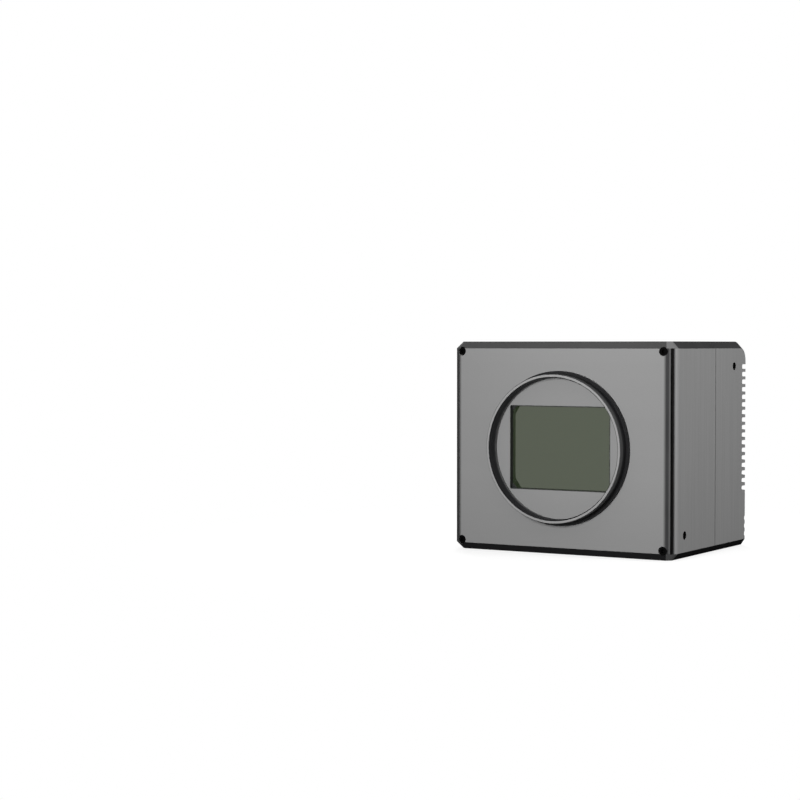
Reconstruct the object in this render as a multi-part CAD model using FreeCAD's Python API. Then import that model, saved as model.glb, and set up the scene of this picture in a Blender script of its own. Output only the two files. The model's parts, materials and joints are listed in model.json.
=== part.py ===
import FreeCAD, Part
import math
import os

# Machine vision camera: a two-part aluminium housing round a large image sensor, with a threaded lens-mount
# ring at the front and a finned heat sink with the connectors at the back.
# Millimetres, +Z up. While it is built, Y is the depth behind the front face (the mount ring stands at
# negative Y); the last step moves everything so that the origin is the middle of the underside.

os.makedirs("parts", exist_ok=True)
V = FreeCAD.Vector

# ---------------------------------------------------------------- housing
BODY_W = 124.0                # overall width (X)
BODY_D = 96.0                 # depth of the housing, front face to fin tips (Y)
BODY_H = 107.0                # height (Z)
SPLIT_Y = 52.0                # joint between the front and the rear housing
WALL = 4.0                    # side, top and bottom walls
FRONT_WALL = 5.0
EDGE_CHAMFER = 3.4            # long edges, top and bottom
CORNER_CHAMFER = 4.3          # upright front edges
CORNER_GROOVE = (0.40, 0.67)  # dark line in the upright chamfer, from and to, as shares of the chamfer
CORNER_GROOVE_DEPTH = 1.0
REAR_ROUND = 10.0             # upper rear edge
SEAM_BREAK = 0.25             # broken edge along the joint
POST_W, POST_H = 10.0, 10.0   # corner posts that carry the tie screws
AXIS_Z = BODY_H / 2           # height of the optical axis

# ---------------------------------------------------------------- heat sink and connector bay
FIN_GROOVES = 17
FIN_PITCH = 3.97
FIN_GROOVE_W = 2.4
FIN_DEPTH = 8.0
FIN_FIRST_Z = 30.4            # centre of the lowest groove
SINK_BASE = 4.0               # solid metal behind the grooves
SHORT_GROOVES = 3             # shallow grooves beside the connector panel
SHORT_FIRST_Z = 6.3
SHORT_PITCH = 4.1
SHORT_DEPTH = 4.2
SHORT_LENGTH = 8.5
BAY_TOP = 31.0                # top of the thick wall that carries the connectors
BAY_FACE_Y = 81.6             # its inner face, which the interface board rests on
WINDOW = (43.0, 9.0, 27.0)    # half width, low and high Z of the hole behind the panel
RECESS = (50.0, 6.3, 29.3)    # the same for the panel's seat
RECESS_DEPTH = 3.0
PANEL_CLEAR = 0.15
PANEL_T = 2.2
PANEL_GASKET_T = 0.4
PANEL_CORNER_R = 3.0

# ---------------------------------------------------------------- front opening and mount ring
APERTURE_W, APERTURE_H = 56.0, 42.5
APERTURE_R = 0.8
APERTURE_LAND = 2.0           # thickness of the front wall round the opening
POCKET_W, POCKET_H = 61.0, 48.0
RING_BORE_R = 35.6            # minor radius of the M72 x 0.75 thread
RING_RIM_R = 37.3
RING_BASE_R = 38.75
RING_BASE_T = 1.8
RING_HEIGHT = 8.2
RING_BREAK = 0.3              # outer chamfer of the rim
RING_LEAD = 0.4               # chamfer that leads into the thread
RING_SCREWS = 4
RING_SCREW_R = 37.5           # pitch radius
RING_SCREW_SEAT = 3.2         # depth of the heads' seat in the front wall

# ---------------------------------------------------------------- fasteners and mounting holes
TIE_X = BODY_W / 2 - 5.9
TIE_Z = 4.9
TIE_BORE_R = 2.3
TIE_BORE_DEPTH = 3.2
TIE_HEAD_R, TIE_HEAD_H = 2.15, 2.5
TIE_SHANK_R = 1.25
TIE_THREAD = 8.0              # length of the screw in the rear housing
TIE_KEY = 2.0                 # socket in the head, across flats
HOLE_PLAY = 0.02              # radial play of a screw in its thread
M1_6 = (0.8, 3.6, 1.6)        # small screws: shank radius, head across flats, head height
M2 = (1.0, 4.0, 1.3)
M2_5 = (1.25, 4.5, 1.7)
M3 = (1.5, 5.5, 2.0)
HIDDEN_SIDES = 6              # bores and shanks that nothing shows are prisms, which keeps the model light
SIDE_HOLE_R = 2.1             # M5 thread, minor radius
SIDE_HOLE_DEPTH = 7.0
SIDE_HOLES = ((13.3, 11.8), (77.0, 94.2))     # Y, Z on each side
BASE_HOLE_R = 1.65            # M4 thread, minor radius
BASE_HOLE_DEPTH = 7.0
BASE_HOLE_X = 35.0
BASE_HOLE_Y = (15.0, 39.0)

# ---------------------------------------------------------------- inner pieces
BAFFLE_WALL = 0.4
BAFFLE_FLANGE = 0.6
BAFFLE_TAB = 3.4
GLASS_T = 1.5
RETAINER_W, RETAINER_H, RETAINER_T = 63.0, 57.0, 1.2
RETAINER_SCREW = (24.0, 26.3)
GLASS_PLAY = 0.4
SENSOR_FACE_Y = 11.35         # light-sensitive surface: 19.55 mm behind the ring's rim
DIE_W, DIE_H, DIE_T = 56.0, 42.5, 0.5
PACKAGE_W, PACKAGE_H = 70.0, 60.0
PACKAGE_Y = (10.1, 13.4)
COVER_GLASS = (62.0, 50.0, 0.7)
BOARD_T = 1.6
SENSOR_BOARD = (46.0, 11.5, 95.5)
SENSOR_BOARD_Y = PACKAGE_Y[1]
SENSOR_BOSS = (42.0, 37.0)    # X and height above and below the axis
BOARD_OPENING = (44.0, 32.0)
PAD_T = 0.6
FINGER_W, FINGER_H = 42.0, 30.0
COLD_PLATE_Y = (18.5, 21.5)
COLD_PLATE = (54.0, 19.0, 88.0)
LUG_Z = (25.0, 82.0)
LUG_X = 51.0
PROCESSOR_BOARD_Y = 70.0
PROCESSOR_BOARD = (49.0, 34.0, 98.0)
PROCESSOR_BOSS_X = 44.0
PROCESSOR_BOSS_Z = (39.0, 93.0)
CHIP_SIZE, CHIP_T = 35.0, 3.2
CHIP_Z = 64.0
PEDESTAL = 40.0
CHIP_PAD_T = 1.0
CHIP_STEP = 2.5               # how far the lid stands back from the chip's edge
MEMORY_X, MEMORY_UP = 30.0, 9.0
MEMORY_SIZE = (9.0, 1.1, 12.0)
INTERFACE_BOARD = (49.5, 6.5, 28.5)
INTERFACE_SCREW_X = 46.3
INDUCTOR_X = (-34.0, -24.0, 24.0)
INDUCTOR_SIZE = (7.0, 4.0, 7.0)
INDUCTOR_Z = 10.5
SOCKET_T = 2.5
SENSOR_SOCKET = (20.0, 13.0, 16.5)     # half width, low and high Z of each cable socket
UPPER_SOCKET = (20.0, 36.0, 39.5)
LOWER_SOCKET = (16.0, 35.0, 38.5)
INTERFACE_SOCKET = (16.0, 22.0, 25.5)
FLEX_T = 0.3
SENSOR_FLEX = (18.0, 4.0)     # half width and bend radius
INTERFACE_FLEX = (14.0, 1.6)

# ---------------------------------------------------------------- connectors
COAX_X = (-36.0, -23.0, -10.0, 3.0)
POWER_X = 21.5
LIGHT_X = 37.0
CONNECTOR_Z = (RECESS[1] + RECESS[2]) / 2
COAX_FLANGE = (4.6, 1.5)      # radius, and height above the panel
COAX_BARREL = (3.5, 8.5)
COAX_BORE = (2.6, 2.0)        # radius, and height of the floor above the panel
COAX_NECK = (3.2, 6.5)        # radius, and reach behind the panel's outer face
COAX_TAIL_R = 2.4
COAX_CORE_R = 1.6             # hole for the insulator
COAX_DISC_TOP = 4.0
COAX_CONTACT = (0.45, 6.6)
COAX_NUT = (8.0, 2.2)         # across flats, and thickness
POWER_FLANGE = (7.2, 1.6)
POWER_BARREL = (5.9, 5.2)
POWER_BORE = (4.6, 0.6)
POWER_NECK = (5.6, 6.0)
POWER_CORE_R = 4.0
POWER_KEY = (0.7, 4.0, 5.2)   # half width, and low and high distance from the axis
POWER_PIN = (0.35, 4.4)
POWER_PIN_CIRCLES = ((9, 3.1), (3, 1.2))
POWER_NUT = (14.0, 2.4)
LIGHT_PIPE = (1.4, 0.2)
LIGHT_TIP = (1.0, 0.6)
LED_SIZE = (3.2, 1.2, 2.8)
PANEL_SCREW = (46.5, 7.6)     # X, and height above and below the connectors' axis
PANEL_SCREW_HEAD = (2.2, 1.4, 1.5)     # radius, height and socket
PANEL_PLAY = 0.1              # round a connector's neck
NUT_PLAY = 0.05
CORE_PLAY = 0.02              # round an insulator
PIN_SIDES = 6
BARREL_SIDES = 20             # sides of the connectors' barrels
HEAD_SIDES = 16               # sides of the screw heads that show, and of the light pipe


# ---------------------------------------------------------------- building blocks
def box(x0, x1, y0, y1, z0, z1):
    """Block between two corners."""
    return Part.makeBox(x1 - x0, y1 - y0, z1 - z0, V(x0, y0, z0))


def rod_z(x, y, radius, z0, z1):
    """Cylinder along Z."""
    return Part.makeCylinder(radius, z1 - z0, V(x, y, z0), V(0, 0, 1))


def prism_y(x, z, radius, y0, y1, sides=HIDDEN_SIDES):
    """Many-sided prism along Y, with its corners on the radius."""
    angles = [2 * math.pi * i / sides for i in range(sides)]
    points = [V(x + radius * math.cos(a), y0, z + radius * math.sin(a)) for a in angles]
    return Part.Face(Part.makePolygon(points + points[:1])).extrude(V(0, y1 - y0, 0))


def slab(half_w, z0, z1, y0, y1, corner=0.0, rounded=False):
    """Upright plate centred on X = 0, with its four corners cut off or rounded."""
    plate = box(-half_w, half_w, y0, y1, z0, z1)
    if corner <= 0:
        return plate
    upright = [e for e in plate.Edges if along(e, 1)]
    return plate.makeFillet(corner, upright) if rounded else plate.makeChamfer(corner, upright)


def pane(width, height, y0, y1, corner=0.0, rounded=False):
    """Upright plate centred on the optical axis."""
    return slab(width / 2, AXIS_Z - height / 2, AXIS_Z + height / 2, y0, y1, corner, rounded)


def along(edge, axis):
    """True for a straight edge that runs along the given axis, 0 for X to 2 for Z."""
    if edge.Curve.TypeId != "Part::GeomLine":
        return False
    step = edge.Vertexes[-1].Point - edge.Vertexes[0].Point
    return all(abs(step[i]) < 1e-6 for i in range(3) if i != axis)


def lies_at(edge, axis, value):
    """True for an edge whose every vertex has this coordinate."""
    return all(abs(v.Point[axis] - value) < 1e-6 for v in edge.Vertexes)


def turned(profile, x, z):
    """Solid of revolution about a line along Y; the profile holds (radius, Y) corners."""
    points = [V(x + r, y, z) for r, y in profile]
    face = Part.Face(Part.makePolygon(points + points[:1]))
    return face.revolve(V(x, 0, z), V(0, 1, 0), 360)


def hexagon_y(x, z, across_flats, y0, y1):
    """Hexagonal prism along Y."""
    return prism_y(x, z, across_flats / math.sqrt(3), y0, y1, 6)


def shank_y(x, z, seat_y, way, radius, length):
    """Hidden part of a screw, from its seat the way given, +1 or -1."""
    tip = seat_y + way * length
    return prism_y(x, z, radius, min(tip, seat_y), max(tip, seat_y))


def socket_screw_y(x, z, seat_y, way, shank_r, length, head_r, head_h, key):
    """Socket-head screw along Y that shows its head."""
    top = seat_y - way * head_h
    head = prism_y(x, z, head_r, min(top, seat_y), max(top, seat_y), HEAD_SIDES)
    floor = top + way * head_h * 0.55
    socket = hexagon_y(x, z, key, min(top, floor), max(top, floor))
    return head.cut(socket).fuse(shank_y(x, z, seat_y, way, shank_r, length))


def hexagon_screw_y(x, z, seat_y, way, size, length):
    """Small hexagon-head screw along Y for the inside of the housing."""
    shank_r, across_flats, head_h = size
    top = seat_y - way * head_h
    head = hexagon_y(x, z, across_flats, min(top, seat_y), max(top, seat_y))
    return head.fuse(shank_y(x, z, seat_y, way, shank_r, length))


def group(solids):
    """Several separate pieces of one kind."""
    return Part.makeCompound(solids)


def mirrored_pairs(x, heights):
    """Positions left and right at each height."""
    return [(side * x, z) for z in heights for side in (-1, 1)]


def ribbon(points, bend, thickness, half_w):
    """Flat cable across X: a line of (Y, Z) points with rounded bends, given a thickness."""
    sides = {+1: [], -1: []}
    for side in sides:
        here = None
        for i in range(len(points)):
            a = V(0, *points[i])
            if i in (0, len(points) - 1):
                b = V(0, *(points[1] if i == 0 else points[i - 1]))
                run = (b - a).normalize() if i == 0 else (a - b).normalize()
                corner = a + V(0, -run.z, run.y) * side * thickness / 2
                if here is not None:
                    sides[side].append(Part.makeLine(here, corner))
                here = corner
                continue
            run_in = (a - V(0, *points[i - 1])).normalize()
            run_out = (V(0, *points[i + 1]) - a).normalize()
            turn = math.acos(max(-1.0, min(1.0, run_in.dot(run_out))))
            left = 1 if run_in.y * run_out.z - run_in.z * run_out.y > 0 else -1
            back = bend * math.tan(turn / 2)
            normal_in = V(0, -run_in.z, run_in.y)
            normal_out = V(0, -run_out.z, run_out.y)
            centre = a - run_in * back + normal_in * left * bend
            offset = side * thickness / 2
            start = a - run_in * back + normal_in * offset
            end = a + run_out * back + normal_out * offset
            middle_way = (start + end) / 2 - centre
            middle = centre + middle_way.normalize() * (bend - left * offset)
            sides[side].append(Part.makeLine(here, start))
            sides[side].append(Part.Arc(start, middle, end).toShape())
            here = end
    first = [sides[s][0].Vertexes[0].Point for s in (1, -1)]
    last = [sides[s][-1].Vertexes[-1].Point for s in (1, -1)]
    caps = [Part.makeLine(first[0], first[1]), Part.makeLine(last[0], last[1])]
    wire = Part.Wire(Part.__sortEdges__(sides[1] + sides[-1] + caps))
    strip = Part.Face(wire).extrude(V(2 * half_w, 0, 0))
    strip.translate(V(-half_w, 0, 0))
    return strip


# ---------------------------------------------------------------- housing
def front_outline():
    """Plan of the front housing: flat face, 45 degree corner, then a round that runs into the side."""
    half = BODY_W / 2
    share = CORNER_GROOVE[1]
    rest = CORNER_CHAMFER * (1 - share)
    arc_r = rest / (1 - math.cos(math.pi / 4))
    lip = V(half - rest, CORNER_CHAMFER * share, 0)
    side = V(half, lip.y + arc_r * math.sin(math.pi / 4), 0)
    centre = V(half - arc_r, side.y, 0)
    middle = centre + V(math.cos(math.pi / 8), -math.sin(math.pi / 8), 0) * arc_r
    face_end = V(half - CORNER_CHAMFER, 0, 0)

    def left(point):
        return V(-point.x, point.y, 0)

    back = V(half, SPLIT_Y, 0)
    edges = [Part.makeLine(left(face_end), face_end), Part.makeLine(face_end, lip),
             Part.Arc(lip, middle, side).toShape(), Part.makeLine(side, back), Part.makeLine(back, left(back)),
             Part.makeLine(left(back), left(side)), Part.Arc(left(side), left(middle), left(lip)).toShape(),
             Part.makeLine(left(lip), left(face_end))]
    return Part.Wire(edges)


def front_block():
    """Outer form of the front housing with its chamfered top and bottom edges."""
    block = Part.Face(front_outline()).extrude(V(0, 0, BODY_H))
    rim = [e for e in block.Edges
           if (lies_at(e, 2, 0) or lies_at(e, 2, BODY_H)) and not lies_at(e, 1, SPLIT_Y)]
    return block.makeChamfer(EDGE_CHAMFER, rim)


def rear_block():
    """Outer form of the rear housing: a rounded upper rear edge with the chamfer carried round it."""
    y1 = BODY_D - REAR_ROUND
    z1 = BODY_H - REAR_ROUND
    slope = REAR_ROUND * math.sqrt(0.5)
    x0 = -BODY_W / 2
    corner = [V(x0, SPLIT_Y, 0), V(x0, BODY_D, 0), V(x0, BODY_D, z1), V(x0, y1, BODY_H), V(x0, SPLIT_Y, BODY_H)]
    edges = [Part.makeLine(corner[0], corner[1]), Part.makeLine(corner[1], corner[2]),
             Part.Arc(corner[2], V(x0, y1 + slope, z1 + slope), corner[3]).toShape(),
             Part.makeLine(corner[3], corner[4]), Part.makeLine(corner[4], corner[0])]
    block = Part.Face(Part.Wire(edges)).extrude(V(BODY_W, 0, 0))
    rim = [e for e in block.Edges
           if (lies_at(e, 0, x0) or lies_at(e, 0, -x0)) and not lies_at(e, 1, SPLIT_Y)]
    return block.makeChamfer(EDGE_CHAMFER, rim)


def posts(y0, y1):
    """Corner posts inside the housing."""
    half = BODY_W / 2 - WALL
    inner = BODY_W / 2 - POST_W
    solids = []
    for side in (-1, 1):
        xs = sorted((side * inner, side * half))
        solids.append(box(xs[0], xs[1], y0, y1, WALL, POST_H))
        solids.append(box(xs[0], xs[1], y0, y1, BODY_H - POST_H, BODY_H - WALL))
    return solids


def cavity(y0, y1):
    """Room inside the housing between two depths, less the corner posts."""
    room = box(WALL - BODY_W / 2, BODY_W / 2 - WALL, y0, y1, WALL, BODY_H - WALL)
    return room.cut(posts(y0, y1))


def tie_positions():
    """Centres of the four tie screws."""
    return mirrored_pairs(TIE_X, (TIE_Z, BODY_H - TIE_Z))


def corner_grooves():
    """Upright slots in the front corner chamfers, ending short of the top and bottom chamfers."""
    middle = sum(CORNER_GROOVE) / 2
    width = (CORNER_GROOVE[1] - CORNER_GROOVE[0]) * CORNER_CHAMFER * math.sqrt(2)
    slots = []
    for side, angle in ((1, 45), (-1, 135)):
        slot = box(-width / 2, width / 2, -CORNER_GROOVE_DEPTH, CORNER_GROOVE_DEPTH,
                   EDGE_CHAMFER, BODY_H - EDGE_CHAMFER)
        slot.rotate(V(0, 0, 0), V(0, 0, 1), angle)
        x = side * (BODY_W / 2 - CORNER_CHAMFER * (1 - middle))
        slot.translate(V(x, CORNER_CHAMFER * middle, 0))
        slots.append(slot)
    return slots


def side_hole(side, y, z):
    """Threaded hole into a side wall."""
    start = V(side * (BODY_W / 2 + 1), y, z)
    return Part.makeCylinder(SIDE_HOLE_R, SIDE_HOLE_DEPTH + 1, start, V(-side, 0, 0))


def side_boss(side, y, z):
    """Extra metal behind a side hole."""
    xs = sorted((side * (BODY_W / 2 - WALL), side * (BODY_W / 2 - SIDE_HOLE_DEPTH - 4)))
    return box(xs[0], xs[1], y - 7, y + 7, z - 6.5, z + 6.5)


def base_boss(side):
    """Extra metal over the base holes of one side."""
    y0, y1 = BASE_HOLE_Y[0] - 4, BASE_HOLE_Y[-1] + 4
    x = side * BASE_HOLE_X
    return box(x - 4, x + 4, y0, y1, WALL, BASE_HOLE_DEPTH + 1.5)


def ring_positions():
    """Centres of the screws that hold the mount ring."""
    angles = [2 * math.pi * i / RING_SCREWS for i in range(RING_SCREWS)]
    return [(RING_SCREW_R * math.cos(a), AXIS_Z + RING_SCREW_R * math.sin(a)) for a in angles]


def front_housing():
    """Front half: front wall with the sensor opening, side walls, posts and bosses."""
    shell = front_block().cut(cavity(FRONT_WALL, SPLIT_Y + 1))
    shell = broken_seam(shell)
    added = [prism_y(x, z, 4.0, FRONT_WALL, SENSOR_BOARD_Y) for x, z in sensor_board_positions()]
    for side in (-1, 1):
        xs = sorted((side * (LUG_X - 3), side * (BODY_W / 2 - WALL)))
        added += [box(xs[0], xs[1], FRONT_WALL, COLD_PLATE_Y[0], z - 5, z + 5) for z in LUG_Z]
        added.append(side_boss(side, *SIDE_HOLES[0]))
        added.append(base_boss(side))
    shell = shell.fuse(added)

    removed = [pane(APERTURE_W, APERTURE_H, -1, FRONT_WALL, APERTURE_R, rounded=True),
               pane(POCKET_W, POCKET_H, APERTURE_LAND, FRONT_WALL, 1.5)]
    for x, z in ring_positions():
        removed.append(prism_y(x, z, M1_6[0] + 0.1, -1, FRONT_WALL))
        removed.append(prism_y(x, z, 2.4, RING_SCREW_SEAT, FRONT_WALL))
    for x, z in tie_positions():
        removed.append(prism_y(x, z, TIE_BORE_R, -1, TIE_BORE_DEPTH, HEAD_SIDES))
        removed.append(prism_y(x, z, TIE_SHANK_R + 0.2, 0, SPLIT_Y))
    for x, z in retainer_positions():
        removed.append(prism_y(x, z, M2[0] + HOLE_PLAY, FRONT_WALL - 3.4, FRONT_WALL))
    for x, z in sensor_board_positions():
        removed.append(prism_y(x, z, M3[0] + HOLE_PLAY, SENSOR_BOARD_Y - 7, SENSOR_BOARD_Y))
    for x, z in cold_plate_positions():
        removed.append(prism_y(x, z, M3[0] + HOLE_PLAY, COLD_PLATE_Y[0] - 8, COLD_PLATE_Y[0]))
    for side in (-1, 1):
        removed.append(side_hole(side, *SIDE_HOLES[0]))
        removed += [rod_z(side * BASE_HOLE_X, y, BASE_HOLE_R, -1, BASE_HOLE_DEPTH) for y in BASE_HOLE_Y]
    return shell.cut(removed + corner_grooves()).removeSplitter()


def broken_seam(shell):
    """Breaks the outer edge of a housing half along the joint."""
    limit = WALL - 0.01

    def outer(edge):
        if not lies_at(edge, 1, SPLIT_Y):
            return False
        near = [min(BODY_W / 2 - abs(v.X), v.Z, BODY_H - v.Z) for v in edge.Vertexes]
        return max(near) < limit

    return shell.makeChamfer(SEAM_BREAK, [e for e in shell.Edges if outer(e)])


def groove(x0, x1, z, floor):
    """Slot along X open to the back, with both corners of its floor cut off."""
    half = FIN_GROOVE_W / 2
    slot = box(x0, x1, floor, BODY_D + 1, z - half, z + half)
    return slot.makeChamfer(half / 2, [e for e in slot.Edges if lies_at(e, 1, floor) and along(e, 0)])


def fin_grooves():
    """Slots between the cooling fins, right across the back."""
    return [groove(-BODY_W, BODY_W, FIN_FIRST_Z + i * FIN_PITCH, BODY_D - FIN_DEPTH)
            for i in range(FIN_GROOVES)]


def short_grooves():
    """Shallow slots in the block at each end of the connector panel."""
    inner = BODY_W / 2 - SHORT_LENGTH
    slots = []
    for i in range(SHORT_GROOVES):
        z = SHORT_FIRST_Z + i * SHORT_PITCH
        slots += [groove(x0, x1, z, BODY_D - SHORT_DEPTH) for x0, x1 in ((inner, BODY_W), (-BODY_W, -inner))]
    return slots


def rear_housing():
    """Rear half: heat sink with its fins, pedestal for the processor and the connector bay."""
    base_y = BODY_D - FIN_DEPTH - SINK_BASE
    shell = rear_block().cut(cavity(SPLIT_Y - 1, base_y))
    shell = broken_seam(shell)
    half = BODY_W / 2 - WALL
    added = [box(-half, half, BAY_FACE_Y, base_y, WALL, BAY_TOP),
             box(-PEDESTAL / 2, PEDESTAL / 2, chip_pad_y()[1], base_y, CHIP_Z - PEDESTAL / 2,
                 CHIP_Z + PEDESTAL / 2)]
    added += [prism_y(x, z, 3.5, PROCESSOR_BOARD_Y + BOARD_T, base_y) for x, z in processor_board_positions()]
    added += [side_boss(side, *SIDE_HOLES[1]) for side in (-1, 1)]
    shell = shell.fuse(added)

    removed = [slab(WINDOW[0], WINDOW[1], WINDOW[2], BAY_FACE_Y - 1, BODY_D, 2.0),
               slab(*RECESS, BODY_D - RECESS_DEPTH, BODY_D + 1, PANEL_CORNER_R, rounded=True)]
    for x, z in tie_positions():
        removed.append(prism_y(x, z, TIE_SHANK_R + HOLE_PLAY, SPLIT_Y, SPLIT_Y + TIE_THREAD + 1))
    for x, z in processor_board_positions():
        hole_y = PROCESSOR_BOARD_Y + BOARD_T
        removed.append(prism_y(x, z, M3[0] + HOLE_PLAY, hole_y, hole_y + 8))
    for x, z in interface_board_positions():
        removed.append(prism_y(x, z, M2_5[0] + HOLE_PLAY, BAY_FACE_Y, BAY_FACE_Y + 5.5))
    for x, z in panel_positions():
        seat = BODY_D - RECESS_DEPTH
        removed.append(prism_y(x, z, M2_5[0] + HOLE_PLAY, seat - 5.5, seat))
    removed += [side_hole(side, *SIDE_HOLES[1]) for side in (-1, 1)]
    removed.append(gasket_loop())
    return shell.cut(removed + fin_grooves() + short_grooves()).removeSplitter()


def gasket_loop():
    """Rubber cord in a groove round the joint, outside the tie screws."""
    inset, width, depth = 2.5, 1.2, 0.8

    def block(by):
        x = BODY_W / 2 - inset + by
        plate = box(-x, x, SPLIT_Y, SPLIT_Y + depth, inset - by, BODY_H - inset + by)
        return plate.makeChamfer(2.0 + by * (2 - math.sqrt(2)), [e for e in plate.Edges if along(e, 1)])

    return block(width / 2).cut(block(-width / 2))


def corner_tie_screws():
    """Long screws that pull the two halves together."""
    length = SPLIT_Y + TIE_THREAD - TIE_BORE_DEPTH
    return group([socket_screw_y(x, z, TIE_BORE_DEPTH, 1, TIE_SHANK_R, length, TIE_HEAD_R, TIE_HEAD_H, TIE_KEY)
                  for x, z in tie_positions()])


# ---------------------------------------------------------------- lens mount and window
def lens_mount_ring():
    """Turned ring: base flange, rim chamfered on both sides and threaded bore."""
    rim = -RING_HEIGHT
    profile = [(RING_BORE_R, 0), (RING_BASE_R, 0), (RING_BASE_R, -RING_BASE_T), (RING_RIM_R, -RING_BASE_T),
               (RING_RIM_R, rim + RING_BREAK), (RING_RIM_R - RING_BREAK, rim),
               (RING_BORE_R + RING_LEAD, rim), (RING_BORE_R, rim + RING_LEAD)]
    holes = [prism_y(x, z, M1_6[0] + HOLE_PLAY, -RING_BASE_T + 0.2, 1) for x, z in ring_positions()]
    return turned(profile, 0, AXIS_Z).cut(holes)


def ring_screws():
    """Screws from behind, through the front wall into the ring's base."""
    seat = RING_SCREW_SEAT
    length = seat + RING_BASE_T - 0.4
    return group([hexagon_screw_y(x, z, seat, -1, M1_6, length) for x, z in ring_positions()])


def light_baffle():
    """Thin black lining of the opening with a flange behind the wall and 45 degree tabs in its corners."""
    inner_w, inner_h = APERTURE_W - 2 * BAFFLE_WALL, APERTURE_H - 2 * BAFFLE_WALL
    flange_y = (APERTURE_LAND, APERTURE_LAND + BAFFLE_FLANGE)
    sleeve = pane(APERTURE_W, APERTURE_H, 0, APERTURE_LAND, APERTURE_R, rounded=True)
    flange = pane(POCKET_W, POCKET_H, *flange_y, 1.5)
    opening = pane(inner_w, inner_h, -1, flange_y[1], APERTURE_R - BAFFLE_WALL, rounded=True)
    liner = sleeve.fuse(flange).cut(opening)
    tabs = []
    for side in (-1, 1):
        for up in (-1, 1):
            x, z = side * inner_w / 2, AXIS_Z + up * inner_h / 2
            x0, z0 = x + side * 0.5, z + up * 0.5
            points = [V(x0, flange_y[0], z0), V(x0 - side * BAFFLE_TAB, flange_y[0], z0),
                      V(x0, flange_y[0], z0 - up * BAFFLE_TAB)]
            tab = Part.Face(Part.makePolygon(points + points[:1])).extrude(V(0, BAFFLE_FLANGE, 0))
            tabs.append(tab)
    return liner.fuse(tabs).removeSplitter()


def window_stack():
    """Depths of the filter glass, its gasket and its retainer."""
    glass = APERTURE_LAND + BAFFLE_FLANGE
    return (glass, glass + GLASS_T, FRONT_WALL, FRONT_WALL + RETAINER_T)


def filter_glass():
    """Grey-green window over the sensor."""
    y = window_stack()
    return pane(POCKET_W - GLASS_PLAY, POCKET_H - GLASS_PLAY, y[0], y[1], 1.5)


def filter_gasket():
    """Foam frame between the glass and its retainer."""
    y = window_stack()
    frame = pane(POCKET_W - GLASS_PLAY, POCKET_H - GLASS_PLAY, y[1], y[2], 1.5)
    return frame.cut(pane(APERTURE_W, APERTURE_H, y[1] - 1, y[2] + 1, 1.0))


def retainer_positions():
    """Centres of the retainer's two screws, on a diagonal."""
    x, up = RETAINER_SCREW
    return [(-x, AXIS_Z - up), (x, AXIS_Z + up)]


def filter_retainer():
    """Sheet frame that holds the glass in its pocket."""
    y = window_stack()
    frame = pane(RETAINER_W, RETAINER_H, y[2], y[3], 2.0)
    holes = [prism_y(x, z, 1.1, y[2], y[3]) for x, z in retainer_positions()]
    return frame.cut([pane(APERTURE_W, APERTURE_H, y[2] - 1, y[3] + 1, 1.0)] + holes)


def retainer_screws():
    """Small screws of the retainer."""
    seat = window_stack()[3]
    return group([hexagon_screw_y(x, z, seat, -1, M2, 4.2) for x, z in retainer_positions()])


# ---------------------------------------------------------------- image sensor and its board
def sensor_package():
    """Ceramic tray of the sensor."""
    tray = pane(PACKAGE_W, PACKAGE_H, *PACKAGE_Y, 1.0)
    well = pane(DIE_W + 2, DIE_H + 2.5, PACKAGE_Y[0] - 1, SENSOR_FACE_Y + DIE_T, 0.6)
    return tray.cut(well)


def sensor_die():
    """Silicon of the sensor."""
    return pane(DIE_W, DIE_H, SENSOR_FACE_Y, SENSOR_FACE_Y + DIE_T)


def sensor_cover_glass():
    """Lid glass on the ceramic tray."""
    width, height, thickness = COVER_GLASS
    return pane(width, height, PACKAGE_Y[0] - thickness, PACKAGE_Y[0], 1.0)


def sensor_board_positions():
    """Centres of the sensor board's screws."""
    return mirrored_pairs(SENSOR_BOSS[0], (AXIS_Z - SENSOR_BOSS[1], AXIS_Z + SENSOR_BOSS[1]))


def sensor_board():
    """Circuit board of the sensor, open in the middle for the cold finger."""
    y0, y1 = SENSOR_BOARD_Y, SENSOR_BOARD_Y + BOARD_T
    board = slab(*SENSOR_BOARD, y0, y1, 3.0)
    holes = [prism_y(x, z, 1.7, y0, y1) for x, z in sensor_board_positions()]
    return board.cut([pane(*BOARD_OPENING, y0 - 1, y1 + 1, 2.0)] + holes)


def sensor_board_screws():
    """Screws of the sensor board."""
    seat = SENSOR_BOARD_Y + BOARD_T
    return group([hexagon_screw_y(x, z, seat, -1, M3, 7.5) for x, z in sensor_board_positions()])


def sensor_thermal_pad():
    """Soft pad between the sensor and the cold finger."""
    return pane(FINGER_W, FINGER_H, PACKAGE_Y[1], PACKAGE_Y[1] + PAD_T, 1.5)


def cold_plate_positions():
    """Centres of the cold plate's screws."""
    return mirrored_pairs(LUG_X, LUG_Z)


def cold_plate():
    """Aluminium plate with a finger that carries the sensor's heat to the housing."""
    finger = pane(FINGER_W, FINGER_H, PACKAGE_Y[1] + PAD_T, COLD_PLATE_Y[0], 1.5)
    plate = slab(*COLD_PLATE, *COLD_PLATE_Y, 3.0)
    holes = [prism_y(x, z, 1.7, *COLD_PLATE_Y) for x, z in cold_plate_positions()]
    return finger.fuse(plate).cut(holes).removeSplitter()


def cold_plate_screws():
    """Screws of the cold plate."""
    seat = COLD_PLATE_Y[1]
    return group([hexagon_screw_y(x, z, seat, -1, M3, 10.0) for x, z in cold_plate_positions()])


# ---------------------------------------------------------------- processor board
def processor_board_positions():
    """Centres of the processor board's screws."""
    return mirrored_pairs(PROCESSOR_BOSS_X, PROCESSOR_BOSS_Z)


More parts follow.
